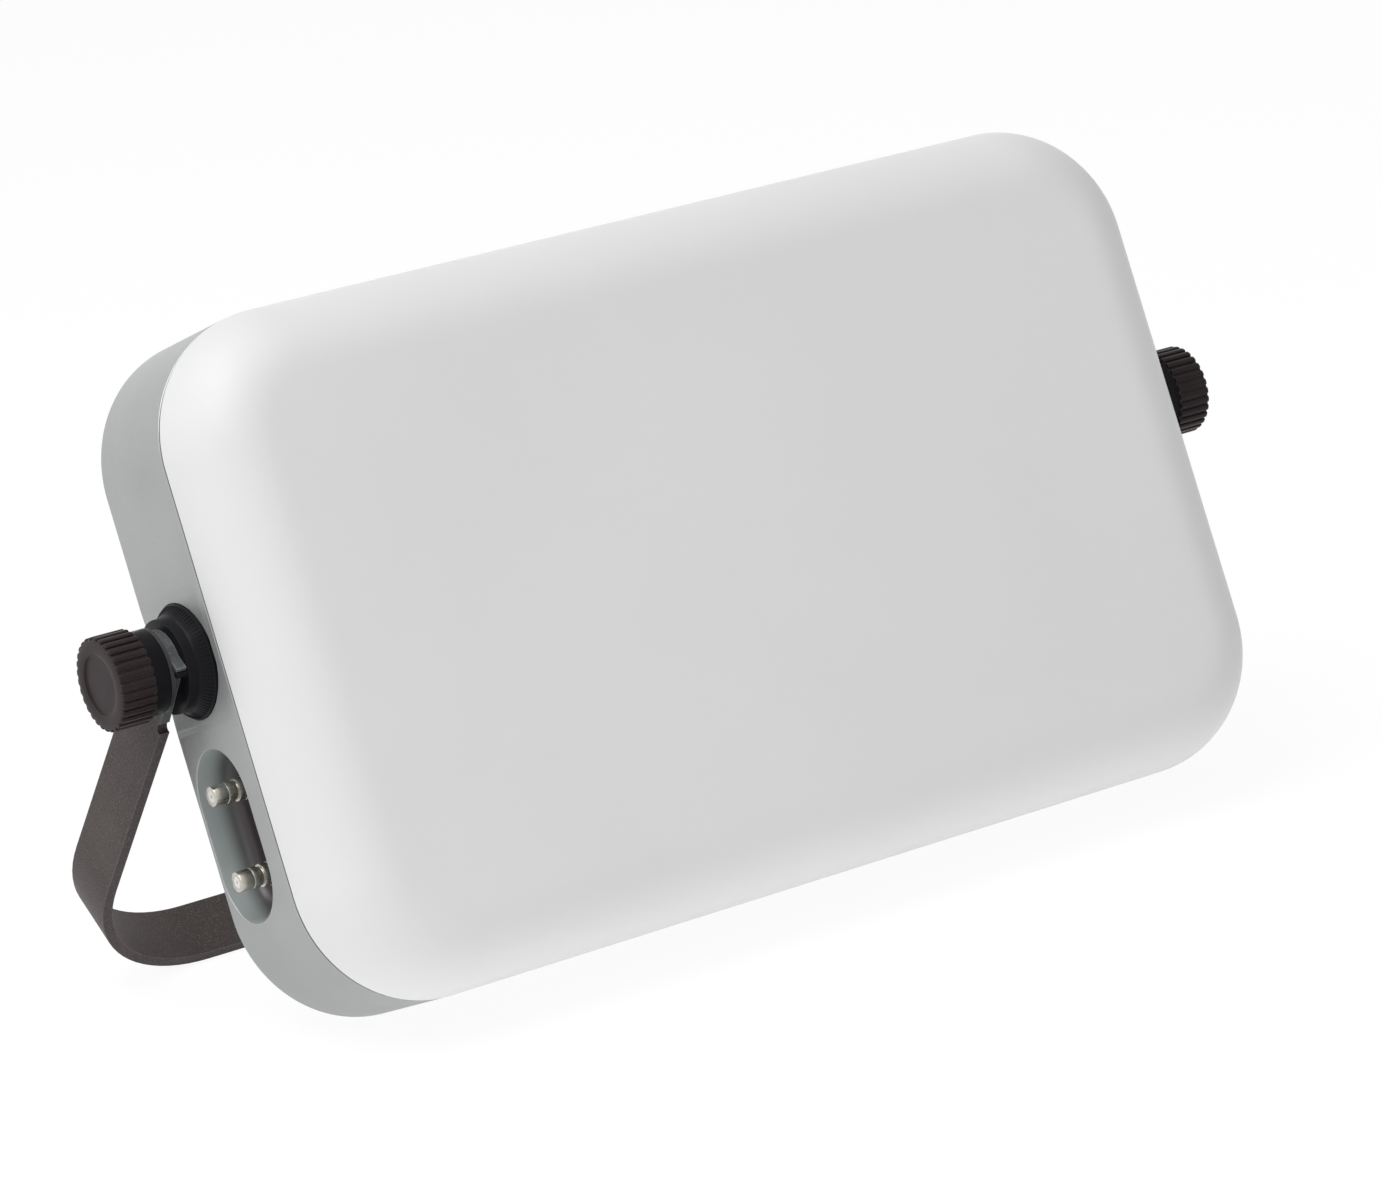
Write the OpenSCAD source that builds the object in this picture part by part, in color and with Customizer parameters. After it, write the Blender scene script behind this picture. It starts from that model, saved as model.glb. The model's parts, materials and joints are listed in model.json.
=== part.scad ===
// Flat-panel satellite phone antenna on a folding U bracket.
// Millimetres, +Z up. The radome faces -Y, the panel leans back on its lower rear edge and on
// the bracket's crossbar. The origin is on the ground, in the middle of the footprint.
// Panel pieces are drawn in the panel's own frame: X along it, Z up its face, Y into its
// depth from the seam between radome and housing. on_panel() leans that frame back.

/* [Panel] */
// Width of the panel
panel_w = 345; // [330:1:380]
// Height of the panel's face
panel_h = 210; // [204:1:230]
// Radius of the panel's corners
corner_r = 40.3; // [34:0.1:46]
// Depth of the housing behind the seam
housing_d = 43.6; // [42:0.1:50]
// Depth of the radome in front of the seam
radome_d = 25.3; // [24:0.1:32]
// Radius of the radome's rounded shoulder
shoulder_r = 22.6; // [14:0.1:23]
// How far the panel leans back
lean = 19.5; // [14:0.5:26]
// Rounding of the housing's rear edge
rear_edge_r = 1.5; // [0.8:0.1:2.5]

/* [Walls] */
// Side wall of the housing
housing_wall = 3; // [2.4:0.1:4]
// Rear wall of the housing
rear_wall = 3; // [2.4:0.1:4]
// Wall of the radome
radome_wall = 2.5; // [2:0.1:3.2]
// Thickness of the gasket in the seam
gasket_t = 0.8; // [0.5:0.1:1.4]
// Width of the gasket
gasket_w = 2.2; // [1.6:0.1:2.4]

/* [Case screws] */
// Radius of a screw's shank
screw_r = 1.5; // [1.2:0.1:1.8]
// Radius of a screw's head
screw_head_r = 2.8; // [2.6:0.1:3]
// Height of a screw's head
screw_head_h = 2; // [1.6:0.1:2.6]
// Radius of the columns that hold the screws
column_r = 5; // [4.8:0.1:5.4]
// Distance of a screw from the panel's edge
screw_inset = 6.8; // [6.5:0.1:7]
// Distance of the long sides' screws from the middle
screw_x = 54; // [52:0.5:56]
// Depth from the seam at which the heads sit
screw_seat = 14; // [10:0.5:22]
// Length of a threaded insert
insert_len = 8; // [6:0.5:9]
// Wall of a threaded insert
insert_wall = 1.2; // [1:0.1:1.4]

/* [Connector pocket] */
// Half width of the pocket
pocket_r = 15.6; // [15:0.1:16.5]
// Straight length of the pocket between its round ends
pocket_run = 22; // [18:0.5:26]
// Height of the pocket's middle on the panel
pocket_z = -42; // [-46:0.5:-41]
// Depth of the pocket into the side
pocket_d = 12.6; // [10.5:0.1:14]
// Wall round the pocket and under its floor
pocket_wall = 2; // [1.6:0.1:2.6]
// Skin left between the pocket and the rear face
pocket_skin = 2.4; // [1.6:0.1:3]

/* [Jacks] */
// Radius of a jack's nose
jack_r = 3.2; // [3:0.05:3.4]
// Length of the smooth nose
jack_nose = 6.9; // [6:0.1:8]
// How far the jacks stand out of the side
jack_out = 3.6; // [2:0.1:5]
// Distance between the two jacks
jack_pitch = 26.2; // [24:0.1:28]
// Radius of the threaded barrel
barrel_r = 3.6; // [3.4:0.05:3.8]
// Distance across the flats of a nut
nut_af = 9.6; // [9:0.1:10.4]
// Thickness of a nut
nut_t = 2.2; // [1.8:0.1:2.6]
// Thickness of the lock washer
lock_t = 0.6; // [0.4:0.1:0.8]
// Radius of the inner coaxial lines
coax_r = 1.8; // [1.4:0.1:2.2]

/* [Pivot] */
// Depth of the pivot behind the seam
pivot_y = 23.4; // [21:0.1:25]
// Height of the pivot above the panel's middle
pivot_z = 11.2; // [9:0.1:15]
// Radius of the hub's flange
flange_r = 17.6; // [16.5:0.1:18.5]
// Thickness of the flange's rim
flange_t = 1.2; // [1:0.1:1.6]
// Radius of the hub
hub_r = 14.4; // [14:0.1:15]
// How far the hub stands off the side
hub_out = 7; // [6:0.1:8]
// Length of the hub's cone
hub_cone = 3.5; // [2:0.1:4]
// Radius of the spigot that the strap turns on
spigot_r = 6; // [5.6:0.1:6.4]
// Radius of the studs
stud_r = 3; // [2.5:0.1:3.2]
// Radius of the stop lugs
lug_r = 1.1; // [0.9:0.05:1.2]
// Depth of the shallow scoop round the hub
scoop_d = 1; // [0.6:0.1:1.4]
// Half height of the scoop
scoop_half = 21; // [20:0.5:23]

/* [Bracket] */
// Distance from the pivot to the crossbar's outer face
reach = 135.3; // [128:0.1:145]
// Width of the strap
strap_w = 20; // [18:0.5:21]
// Thickness of the strap
strap_t = 3.4; // [3:0.1:4]
// Outer radius of the strap's bends
bend_r = 45.5; // [30:0.5:50]
// How much each arm spreads outwards
splay = 3.9; // [2:0.1:5]
// Length of the flat stretch below the pivot
flat_len = 16; // [15:0.5:20]
// Radius of the strap's round head
head_r = 11.6; // [11:0.1:12]
// Depth of the relief along the front edge of the neck
relief = 1.3; // [0.8:0.1:1.6]
// Wall of the bush in the strap's head
bush_wall = 1.5; // [1:0.1:2]

/* [Knobs] */
// Radius of a knob over its ribs
knob_r = 14.3; // [13.8:0.1:15]
// Overall length of a knob
knob_len = 17; // [15:0.1:19]
// Length of the ribbed part
grip_len = 8.4; // [7:0.1:9]
// Number of ribs round a knob
rib_count = 30; // [24:1:34]
// Radius of a rib
rib_r = 1; // [0.8:0.1:1.2]
// Radius of the knob's smooth collar
collar_r = 12.8; // [12:0.1:13]
// Wall of the collar round the hollow behind it
collar_wall = 1.8; // [1.4:0.1:2.2]
// Radius of the cap in the knob's face
cap_r = 9.8; // [8.5:0.1:10.2]
// Thickness of the cap
cap_t = 1.2; // [0.8:0.1:1.6]
// Thickness of the clamping washer
washer_t = 1.2; // [0.8:0.1:1.6]
// Wall of the brass nut moulded into a knob
brass_wall = 2; // [1.6:0.1:2.4]

/* [Antenna array] */
// Side of a square radiating plate
patch_side = 80; // [70:1:82]
// Thickness of a radiating plate
patch_t = 0.8; // [0.5:0.1:1.2]
// Distance from the plates to the panel's ends
patch_margin_x = 24.5; // [22:0.5:28]
// Distance from the plates to the panel's long sides
patch_margin_z = 16; // [15:0.5:20]
// Air gap under the plates
patch_gap = 7; // [5:0.5:9]
// Radius of the posts that carry the plates
post_r = 4; // [3:0.1:5]
// Thickness of the feed board
feed_t = 1.6; // [1:0.1:2]
// Thickness of the ground plate
ground_t = 1.5; // [1:0.1:2.5]
// Radius of the ground plate's pillars
pillar_r = 4; // [3.5:0.1:4.5]

/* [Electronics] */
// Width of the amplifier box
amp_w = 120; // [110:1:126]
// Height of the amplifier box
amp_h = 62; // [60:1:70]
// Depth of the amplifier box without its lid
amp_d = 20; // [19:0.5:24]
// Wall of the amplifier box
amp_wall = 2.5; // [2:0.1:3]
// Thickness of its lid
amp_lid_t = 2; // [1.5:0.1:3]
// Thickness of the circuit boards
board_t = 1.6; // [1:0.1:2]
// Width of a power device
chip_w = 12; // [10:0.5:14]
// Height of a power device
chip_h = 10; // [8:0.5:12]
// Thickness of a power device
chip_t = 2; // [1.5:0.1:3]
// Width of the control board
control_w = 90; // [80:1:100]
// Height of the control board
control_h = 60; // [50:1:66]
// Side of the shield can on the control board
can_side = 34; // [26:1:40]

/* [Hidden] */
$fn = 64;

// Clearances
turn_gap = 0.05;      // a turning fit, on the radius
face_gap = 0.1;       // between faces that slide on each other
loose_gap = 0.3;      // round what passes freely
over = 1;             // how far a cutter runs past a face
bite = 0.6;           // how far a boss is let into the wall that carries it

// Panel planes, as depths from the seam
housing_front = gasket_t;
rear_y = housing_d;
rear_inner = rear_y - rear_wall;
face_inner = -radome_d + radome_wall;
half_w = panel_w/2;
half_h = panel_h/2;

// Screws of the case: one in each corner and two along each long side
corner_in = (corner_r - screw_inset)*cos(45);
corner_screw = [half_w - corner_r + corner_in, half_h - corner_r + corner_in];
side_screw = [screw_x, half_h - screw_inset];
case_points = [for (p = [corner_screw, side_screw], x = [-1, 1], z = [-1, 1]) [x*p[0], z*p[1]]];

// Stack of the antenna
ground_front = housing_front + feed_t;
ground_rear = ground_front + ground_t;
patch_rear = housing_front - patch_gap;
plate_margin = housing_wall + loose_gap + 1.2;
patch_pitch_x = half_w - patch_margin_x - patch_side/2;
patch_pitch_z = panel_h - 2*patch_margin_z - patch_side;
pillar_row = half_h - screw_inset - 2*column_r;
pillar_points = [for (x = [-1, 0, 1], z = [-1, 1]) [x*patch_pitch_x, z*pillar_row]];
boss_front = rear_inner - 4;
pillar_bore = 9;

// Pocket and jacks
pocket_y = rear_y - pocket_skin - pocket_r;
pocket_floor = half_w - pocket_d;
jack_tip = half_w + jack_out;
jack_z = [pocket_z + jack_pitch/2, pocket_z - jack_pitch/2];
groove_len = 1.2;
groove_r = jack_r - 0.35;
jack_bore = 2;
jack_tail = 7;
jack_rear = pocket_floor - pocket_wall - jack_tail;
pin_r = 0.45;

// Pivot hardware, as distances from the panel's middle plane
seat_x = half_w - flange_t;
hub_x = half_w + hub_out;
strap_x = hub_x + face_gap + strap_t;
washer_x = strap_x + face_gap;
knob_x = washer_x + washer_t;
bush_r = spigot_r + turn_gap + bush_wall;
brass_r = stud_r + turn_gap + brass_wall;
brass_len = knob_len - cap_t - 3;
stud_end = knob_x + brass_len - 1;
anchor_t = 6;
anchor_w = 30;
anchor_h = 34;
anchor_x = half_w - housing_wall;
stud_head_af = 10;
stud_head_t = 4;
hub_screw_pitch = 20;

// Rest position: the panel stands on its rear edge, the crossbar on its front edge
panel_z = (rear_y - rear_edge_r)*sin(lean) + (half_h - rear_edge_r)*cos(lean) + rear_edge_r;
pivot_up = panel_z - pivot_y*sin(lean) + pivot_z*cos(lean);
edge_reach = sqrt(reach*reach + strap_w*strap_w/4);
swing = atan(strap_w/2/reach) + acos(pivot_up/edge_reach);
pivot_deep = pivot_y*cos(lean) + pivot_z*sin(lean);
front_most = (shoulder_r - radome_d)*cos(lean) - (half_h - shoulder_r)*sin(lean) - shoulder_r;
bar_back = pivot_deep + reach*sin(swing) + strap_w/2*cos(swing);
panel_back = (rear_y - rear_edge_r)*cos(lean) + (half_h - rear_edge_r)*sin(lean) + rear_edge_r;
panel_y = -(front_most + max(bar_back, panel_back))/2;
pivot_back = panel_y + pivot_deep;

// Bend of the strap: its centre lies one radius from the arm's outer face and the crossbar's
arm_run = (reach - bend_r - flat_len - bend_r*sin(splay))/cos(splay);
bend_c = [strap_x + arm_run*sin(splay) - bend_r*cos(splay), bend_r - reach];
bend_steps = 20;

// The lug stands just below the ear of the strap's head
ear_s = head_r - 1.2;
ear_face = ear_s - 1.1;
lug_s = ear_face - lug_r - face_gap;
lug_n = strap_w/2 - relief + lug_r + loose_gap;
notch_r = 1.6;
relief_cut = 8;

module round_rect(w, h, r) {
    square([w - 2*r, h], center = true);
    square([w, h - 2*r], center = true);
    for (x = [-1, 1], y = [-1, 1])
        translate([x*(w/2 - r), y*(h/2 - r)]) circle(r);
}

// Extrudes an outline of the panel's face from one depth to another
module slab(from, to) {
    translate([0, to, 0]) rotate([90, 0, 0]) linear_extrude(to - from) children();
}

// A cylinder that runs into the panel's depth
module deep_rod(p, from, to, r) {
    translate([p[0], to, p[1]]) rotate([90, 0, 0]) cylinder(r = r, h = to - from);
}

// A hexagonal prism that runs into the panel's depth
module deep_hex(p, from, to, af) {
    translate([p[0], to, p[1]]) rotate([90, 0, 0]) cylinder(r = af/sqrt(3), h = to - from, $fn = 6);
}

// A box of the panel's frame between two depths, placed by its middle
module deep_box(p, size, from, to) {
    translate([p[0] - size[0]/2, from, p[1] - size[1]/2]) cube([size[0], to - from, size[1]]);
}

// Section of a dished cover, from a corner's axis out to its rim
module dish_section(r, depth, shoulder) {
    square([r - shoulder, depth]);
    square([r, depth - shoulder]);
    translate([r - shoulder, depth - shoulder]) intersection() {
        circle(shoulder);
        square(shoulder);
    }
}

module dish_side(middle, half_len) {
    translate([middle, half_len, 0]) rotate([90, 0, 0]) linear_extrude(2*half_len) children();
}

// A solid cover on its rim, with a rounded shoulder all round its face
module dish(w, h, r, depth, shoulder) {
    linear_extrude(depth) square([w - 2*r, h - 2*r], center = true);
    for (turn = [0, 180]) {
        rotate(turn) dish_side(w/2 - r, h/2 - r) dish_section(r, depth, shoulder);
        rotate(turn + 90) dish_side(h/2 - r, w/2 - r) dish_section(r, depth, shoulder);
    }
    for (x = [0, 1], y = [0, 1]) mirror([x, 0, 0]) mirror([0, y, 0])
        translate([w/2 - r, h/2 - r, 0]) rotate_extrude(angle = 90) dish_section(r, depth, shoulder);
}

module on_panel() {
    translate([0, panel_y, panel_z]) rotate([-lean, 0, 0]) children();
}

// The right-hand side as drawn, or its mirror image on the left
module on_side(side) {
    if (side < 0) mirror([1, 0, 0]) children();
    else children();
}

// The bracket's frame: arms down -Z, pivot at the origin
module on_bracket() {
    translate([0, pivot_back, pivot_up]) rotate([swing, 0, 0]) children();
}

// Along the pivot, outwards from x on one side
module on_axis(side, x) {
    on_side(side) translate([x, 0, 0]) rotate([0, 90, 0]) children();
}

module panel_axis(side, x) {
    on_panel() translate([0, pivot_y, pivot_z]) on_axis(side, x) children();
}

module pivot_axis(side, x) {
    translate([0, pivot_back, pivot_up]) on_axis(side, x) children();
}

// ---- Case ----

module radome() color("white") on_panel() difference() {
    union() {
        difference() {
            rotate([90, 0, 0]) dish(panel_w, panel_h, corner_r, radome_d, shoulder_r);
            translate([0, over, 0]) rotate([90, 0, 0])
                dish(panel_w - 2*radome_wall, panel_h - 2*radome_wall, corner_r - radome_wall,
                    radome_d - radome_wall + over, shoulder_r - radome_wall);
        }
        for (p = case_points) deep_rod(p, -insert_len - 2, 0, column_r);
    }
    for (p = case_points) deep_rod(p, -insert_len, over, screw_r + insert_wall);
}

module case_inserts() color("goldenrod") on_panel() for (p = case_points) difference() {
    deep_rod(p, -insert_len, 0, screw_r + insert_wall);
    deep_rod(p, -insert_len - over, over, screw_r);
}

module gasket() color([0.12, 0.12, 0.13]) on_panel() slab(0, gasket_t) difference() {
    round_rect(panel_w - 1, panel_h - 1, corner_r - 0.5);
    round_rect(panel_w - 1 - 2*gasket_w, panel_h - 1 - 2*gasket_w, corner_r - 0.5 - gasket_w);
}

module pocket_outline(r) {
    for (z = [-1, 1]) translate([pocket_y, pocket_z + z*pocket_run/2]) circle(r);
    translate([pocket_y - r, pocket_z - pocket_run/2]) square([2*r, pocket_run]);
}

// Extrudes an outline of the left side (depth, height) from x inwards to outwards
module left_side(inner, outer) {
    translate([-outer, 0, 0]) rotate([90, 0, 90]) linear_extrude(outer - inner) children();
}

module housing_shell() {
    translate([0, housing_front, 0]) rotate([-90, 0, 0])
        dish(panel_w, panel_h, corner_r, rear_y - housing_front, rear_edge_r);
}

module housing_cavity() {
    slab(housing_front - over, rear_inner)
        round_rect(panel_w - 2*housing_wall, panel_h - 2*housing_wall, corner_r - housing_wall);
}

module pocket_tub() {
    intersection() {
        left_side(pocket_floor - pocket_wall, half_w) pocket_outline(pocket_r + pocket_wall);
        translate([-half_w, housing_front, -half_h]) cube([panel_w, rear_y - housing_front - bite, panel_h]);
    }
}

// Shallow cylindrical scoop in the side wall, round the hub
module scoop() {
    scoop_r = (scoop_half*scoop_half + scoop_d*scoop_d)/(2*scoop_d);
    translate([half_w - scoop_d + scoop_r, 4, pivot_z]) rotate([-90, 0, 0])
        cylinder(r = scoop_r, h = rear_y + over - 4, $fn = 200);
}

module housing() color([0.70, 0.73, 0.72]) on_panel() difference() {
    union() {
        difference() {
            housing_shell();
            housing_cavity();
        }
        for (p = case_points) deep_rod(p, housing_front, rear_inner + bite, column_r);
        for (p = pillar_points) deep_rod(p, boss_front, rear_inner + bite, pillar_r + 1.5);
        pocket_tub();
    }
    left_side(pocket_floor, half_w + over) pocket_outline(pocket_r);
    for (z = jack_z)
        side_rod(-pocket_floor - over, -pocket_floor + pocket_wall + over, pocket_y, z, barrel_r + turn_gap);
    for (p = case_points) {
        deep_rod(p, housing_front - over, rear_y, screw_r + loose_gap);
        deep_rod(p, screw_seat, rear_y + over, screw_head_r + loose_gap);
    }
    for (p = pillar_points) deep_rod(p, boss_front - over, rear_inner, screw_r);
    for (side = [-1, 1]) on_side(side) {
        scoop();
        translate([seat_x, pivot_y, pivot_z]) rotate([0, 90, 0]) cylinder(r = flange_r + 0.2, h = 2*over + flange_t);
        translate([anchor_x - over, pivot_y, pivot_z]) rotate([0, 90, 0])
            cylinder(r = stud_r + loose_gap, h = housing_wall + 2*over);
        for (z = [-1, 1]) translate([anchor_x - over, pivot_y, pivot_z + z*hub_screw_pitch/2]) rotate([0, 90, 0])
            cylinder(r = screw_r + loose_gap, h = housing_wall + 2*over);
    }
    deep_rod(vent_point, rear_inner - over, rear_y + over, vent_r);
}

// Button-headed screws that hold the radome on
module case_screws() color([0.55, 0.55, 0.57]) on_panel() for (p = case_points) difference() {
    union() {
        deep_rod(p, -insert_len + 1, screw_seat, screw_r);
        deep_rod(p, screw_seat, screw_seat + screw_head_h, screw_head_r);
    }
    deep_hex(p, screw_seat + screw_head_h - 1.2, screw_seat + screw_head_h + over, 2.5);
}

vent_point = [110, -60];
vent_r = 4.5;

module vent_plug() color([0.15, 0.15, 0.16]) on_panel() difference() {
    union() {
        deep_rod(vent_point, rear_inner - 1.5, rear_y, vent_r);
        deep_rod(vent_point, rear_inner - 1.5, rear_inner, vent_r + 1.5);
    }
    for (a = [0:60:300]) deep_rod(vent_point + 2.4*[cos(a), sin(a)], rear_inner - 3, rear_y + over, 0.6);
}

// ---- Antenna stack ----

module ground_plate() color([0.75, 0.76, 0.78]) on_panel() difference() {
    slab(ground_front, ground_rear)
        round_rect(panel_w - 2*plate_margin, panel_h - 2*plate_margin, corner_r - plate_margin);
    for (p = case_points) deep_rod(p, ground_front - over, ground_rear + over, column_r + 1);
    for (p = pillar_points) deep_rod(p, ground_front - over, ground_rear + over, screw_r + loose_gap);
    translate([-half_w, ground_front - over, pocket_z - pocket_run/2 - pocket_r - pocket_wall - 1])
        cube([pocket_d + pocket_wall + 1, ground_t + 2*over, pocket_run + 2*(pocket_r + pocket_wall + 1)]);
    deep_rod(feed_point, ground_front - over, ground_rear + over, coax_r + loose_gap);
}

// Hexagonal pillars with a stud at the rear and a threaded bore in front
module ground_pillars() color([0.8, 0.8, 0.8]) on_panel() for (p = pillar_points) difference() {
    union() {
        deep_hex(p, ground_rear, boss_front, 2*pillar_r*cos(30));
        deep_rod(p, boss_front, rear_inner - 0.5, screw_r);
    }
    deep_rod(p, ground_rear - over, ground_rear + pillar_bore, screw_r);
}

module ground_screws() color([0.6, 0.6, 0.6]) on_panel() for (p = pillar_points) union() {
    deep_rod(p, housing_front, ground_rear + pillar_bore - 1, screw_r);
    deep_rod(p, housing_front - screw_head_h, housing_front, screw_head_r);
}

feed_size = [2*patch_pitch_x + 50, 2*(pillar_row + column_r - 0.5)];

module feed_board() color([0.1, 0.35, 0.2]) on_panel() difference() {
    slab(housing_front, ground_front) round_rect(feed_size[0], feed_size[1], 4);
    for (p = pillar_points) deep_rod(p, housing_front - over, ground_front + over, screw_r + loose_gap);
    deep_rod(feed_point, housing_front - over, ground_front + over, coax_r - 1);
}

patch_points = [for (x = [-1, 0, 1], z = [-1, 1]) [x*patch_pitch_x, z*patch_pitch_z/2]];

module patch_plates() color([0.82, 0.55, 0.32]) on_panel() for (p = patch_points) difference() {
    translate([p[0], 0, p[1]]) slab(patch_rear - patch_t, patch_rear) difference() {
        square(patch_side, center = true);
        for (c = [-1, 1]) translate(c*patch_side/2*[1, 1]) rotate(45) square(patch_side/8, center = true);
    }
    deep_rod(p, patch_rear - patch_t - over, patch_rear + over, post_r/2 + turn_gap);
}

module patch_posts() color([0.92, 0.92, 0.88]) on_panel() for (p = patch_points) {
    deep_rod(p, patch_rear, housing_front, post_r);
    deep_rod(p, patch_rear - patch_t - 1.5, patch_rear, post_r/2);
}

// ---- Electronics on the rear wall ----

amp_x = pocket_floor - jack_tail - 12 - amp_w/2;
amp_point = [-(amp_x), pocket_z];
pad_t = 0.8;
amp_rear = rear_inner - pad_t;
amp_front = amp_rear - amp_d;
amp_screw_in = 4.5;
amp_screws = [for (x = [-1, 1], z = [-1, 1])
    amp_point + [x*(amp_w/2 - amp_screw_in), z*(amp_h/2 - amp_screw_in)]];

module amplifier_case() color([0.72, 0.73, 0.75]) on_panel() difference() {
    deep_box(amp_point, [amp_w, amp_h], amp_front, amp_rear);
    difference() {
        deep_box(amp_point, [amp_w - 2*amp_wall, amp_h - 2*amp_wall], amp_front - over, amp_rear - amp_wall);
        for (p = amp_screws) deep_rod(p, amp_front, amp_rear, amp_screw_in);
    }
    for (p = amp_screws) deep_rod(p, amp_front - over, amp_rear + over, screw_r);
    for (z = jack_z) translate([amp_point[0] - amp_w/2 - over, pocket_y, z]) rotate([0, 90, 0])
        cylinder(r = coax_r + turn_gap, h = amp_wall + 2*over);
    translate([amp_point[0] + amp_w/2 - amp_wall - over, amp_rear - amp_d/2, amp_point[1]]) rotate([0, 90, 0])
        cylinder(r = coax_r + turn_gap, h = amp_wall + 2*over);
}

module amplifier_lid() color([0.78, 0.79, 0.8]) on_panel() difference() {
    deep_box(amp_point, [amp_w, amp_h], amp_front - amp_lid_t, amp_front);
    for (p = amp_screws) deep_rod(p, amp_front - amp_lid_t - over, amp_front + over, screw_r + loose_gap);
}

module amplifier_screws() color([0.5, 0.5, 0.5]) on_panel() for (p = amp_screws) {
    deep_rod(p, amp_front - amp_lid_t - screw_head_h, amp_front - amp_lid_t, screw_head_r);
    deep_rod(p, amp_front - amp_lid_t, amp_rear, screw_r);
}

module amplifier_board() color([0.1, 0.35, 0.2]) on_panel() difference() {
    deep_box(amp_point, [amp_w - 2*amp_wall - 1, amp_h - 2*amp_wall - 1],
        amp_rear - amp_wall - board_t, amp_rear - amp_wall);
    for (p = amp_screws) deep_rod(p, amp_front, amp_rear, amp_screw_in + loose_gap);
}

module amplifier_chips() color([0.1, 0.1, 0.1]) on_panel()
    for (i = [0:3], z = [-1, 1]) deep_box(amp_point + [(i - 1.5)*2*chip_w, z*0.8*chip_h], [chip_w, chip_h],
        amp_rear - amp_wall - board_t - chip_t, amp_rear - amp_wall - board_t);

module thermal_pad() color([0.55, 0.6, 0.65]) on_panel() difference() {
    deep_box(amp_point, [amp_w - 4, amp_h - 4], amp_rear, rear_inner);
    for (p = amp_screws) deep_rod(p, amp_rear - over, rear_inner + over, screw_r + loose_gap);
}

control_lift = 6;
control_point = [-20, pocket_z + amp_h/2 + control_lift + control_h/2 + 15];
control_rear = rear_inner - control_lift;
post_in = 4;
control_posts = [for (x = [-1, 1], z = [-1, 1])
    control_point + [x*(control_w/2 - post_in), z*(control_h/2 - post_in)]];

module control_board() color([0.08, 0.3, 0.18]) on_panel() difference() {
    deep_box(control_point, [control_w, control_h], control_rear - board_t, control_rear);
    for (p = control_posts) deep_rod(p, control_rear - board_t - over, control_rear + over, screw_r + 0.1);
}

module control_pillars() color([0.8, 0.75, 0.5]) on_panel() for (p = control_posts) {
    deep_hex(p, control_rear, rear_inner, 5);
    deep_rod(p, control_rear - board_t, control_rear, screw_r);
    deep_rod(p, control_rear - board_t - screw_head_h, control_rear - board_t, screw_head_r);
}

module control_shield() color([0.8, 0.8, 0.82]) on_panel() difference() {
    deep_box(control_point, [can_side, can_side], control_rear - board_t - 4, control_rear - board_t);
    deep_box(control_point, [can_side - 0.8, can_side - 0.8], control_rear - board_t - 3.6, control_rear - board_t + over);
}

// ---- Coaxial lines inside ----

coax_in = 3;

module side_rod(x0, x1, y, z, r) {
    translate([x0, y, z]) rotate([0, 90, 0]) cylinder(r = r, h = x1 - x0);
}

module coax_line(z) {
    side_rod(-jack_rear, amp_point[0] - amp_w/2 + coax_in, pocket_y, z, coax_r);
}

module coax_transmit() color([0.75, 0.6, 0.4]) on_panel() coax_line(jack_z[0]);

module coax_receive() color([0.75, 0.6, 0.4]) on_panel() coax_line(jack_z[1]);

feed_point = [amp_point[0] + amp_w/2 + 8, pocket_z];
feed_bend = 5;

// From the amplifier's side it bends forward and rises through the ground plate
module coax_feed() color([0.75, 0.6, 0.4]) on_panel() {
    y = amp_rear - amp_d/2;
    side_rod(feed_point[0] - 8 - coax_in, feed_point[0] - feed_bend, y, pocket_z, coax_r);
    translate([feed_point[0] - feed_bend, y - feed_bend, pocket_z]) rotate_extrude(angle = 90)
        translate([feed_bend, 0]) circle(coax_r);
    deep_rod(feed_point, ground_front, y - feed_bend, coax_r);
    deep_rod(feed_point, housing_front, ground_front, coax_r - 1);
}

// ---- Jacks ----

module at_jacks() {
    on_panel() for (z = jack_z) translate([0, pocket_y, z]) children();
}

nut_x = pocket_floor + lock_t;
barrel_x = jack_tip - jack_nose - groove_len;

module jack_shells() color([0.78, 0.74, 0.68]) at_jacks() difference() {
    union() {
        side_rod(-jack_tip, -jack_tip + jack_nose, 0, 0, jack_r);
        side_rod(-jack_tip + jack_nose, -barrel_x, 0, 0, groove_r);
        side_rod(-barrel_x, -pocket_floor + pocket_wall, 0, 0, barrel_r);
        side_rod(-pocket_floor + pocket_wall, -jack_rear, 0, 0, barrel_r + 1.2);
    }
    side_rod(-jack_tip - over, -jack_rear + over, 0, 0, jack_bore);
}

module jack_insulators() color("white") at_jacks() difference() {
    side_rod(-jack_tip + 0.2, -jack_rear, 0, 0, jack_bore);
    side_rod(-jack_tip - over, -jack_rear + over, 0, 0, pin_r);
}

module jack_contacts() color([0.85, 0.7, 0.3]) at_jacks()
    side_rod(-jack_tip + 1.2, -jack_rear, 0, 0, pin_r);

module jack_washers() color([0.7, 0.7, 0.7]) at_jacks() difference() {
    side_rod(-pocket_floor - lock_t, -pocket_floor, 0, 0, nut_af/2);
    side_rod(-pocket_floor - 2*lock_t, -pocket_floor + over, 0, 0, barrel_r);
}

module jack_nuts() color([0.78, 0.74, 0.68]) at_jacks() difference() {
    translate([-nut_x - nut_t, 0, 0]) rotate([0, 90, 0]) cylinder(r = nut_af/sqrt(3), h = nut_t, $fn = 6);
    side_rod(-nut_x - nut_t - over, -nut_x + over, 0, 0, barrel_r);
}

// ---- Pivots ----

// Turned outline of a hub: flange, cone, barrel and the spigot inside the strap
module hub_section() {
    polygon([[0, 0], [flange_r, 0], [flange_r, flange_t], [hub_r, flange_t + hub_cone],
        [hub_r, flange_t + hub_out], [spigot_r, flange_t + hub_out],
        [spigot_r, flange_t + hub_out + strap_t - face_gap], [0, flange_t + hub_out + strap_t - face_gap]]);
}

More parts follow.
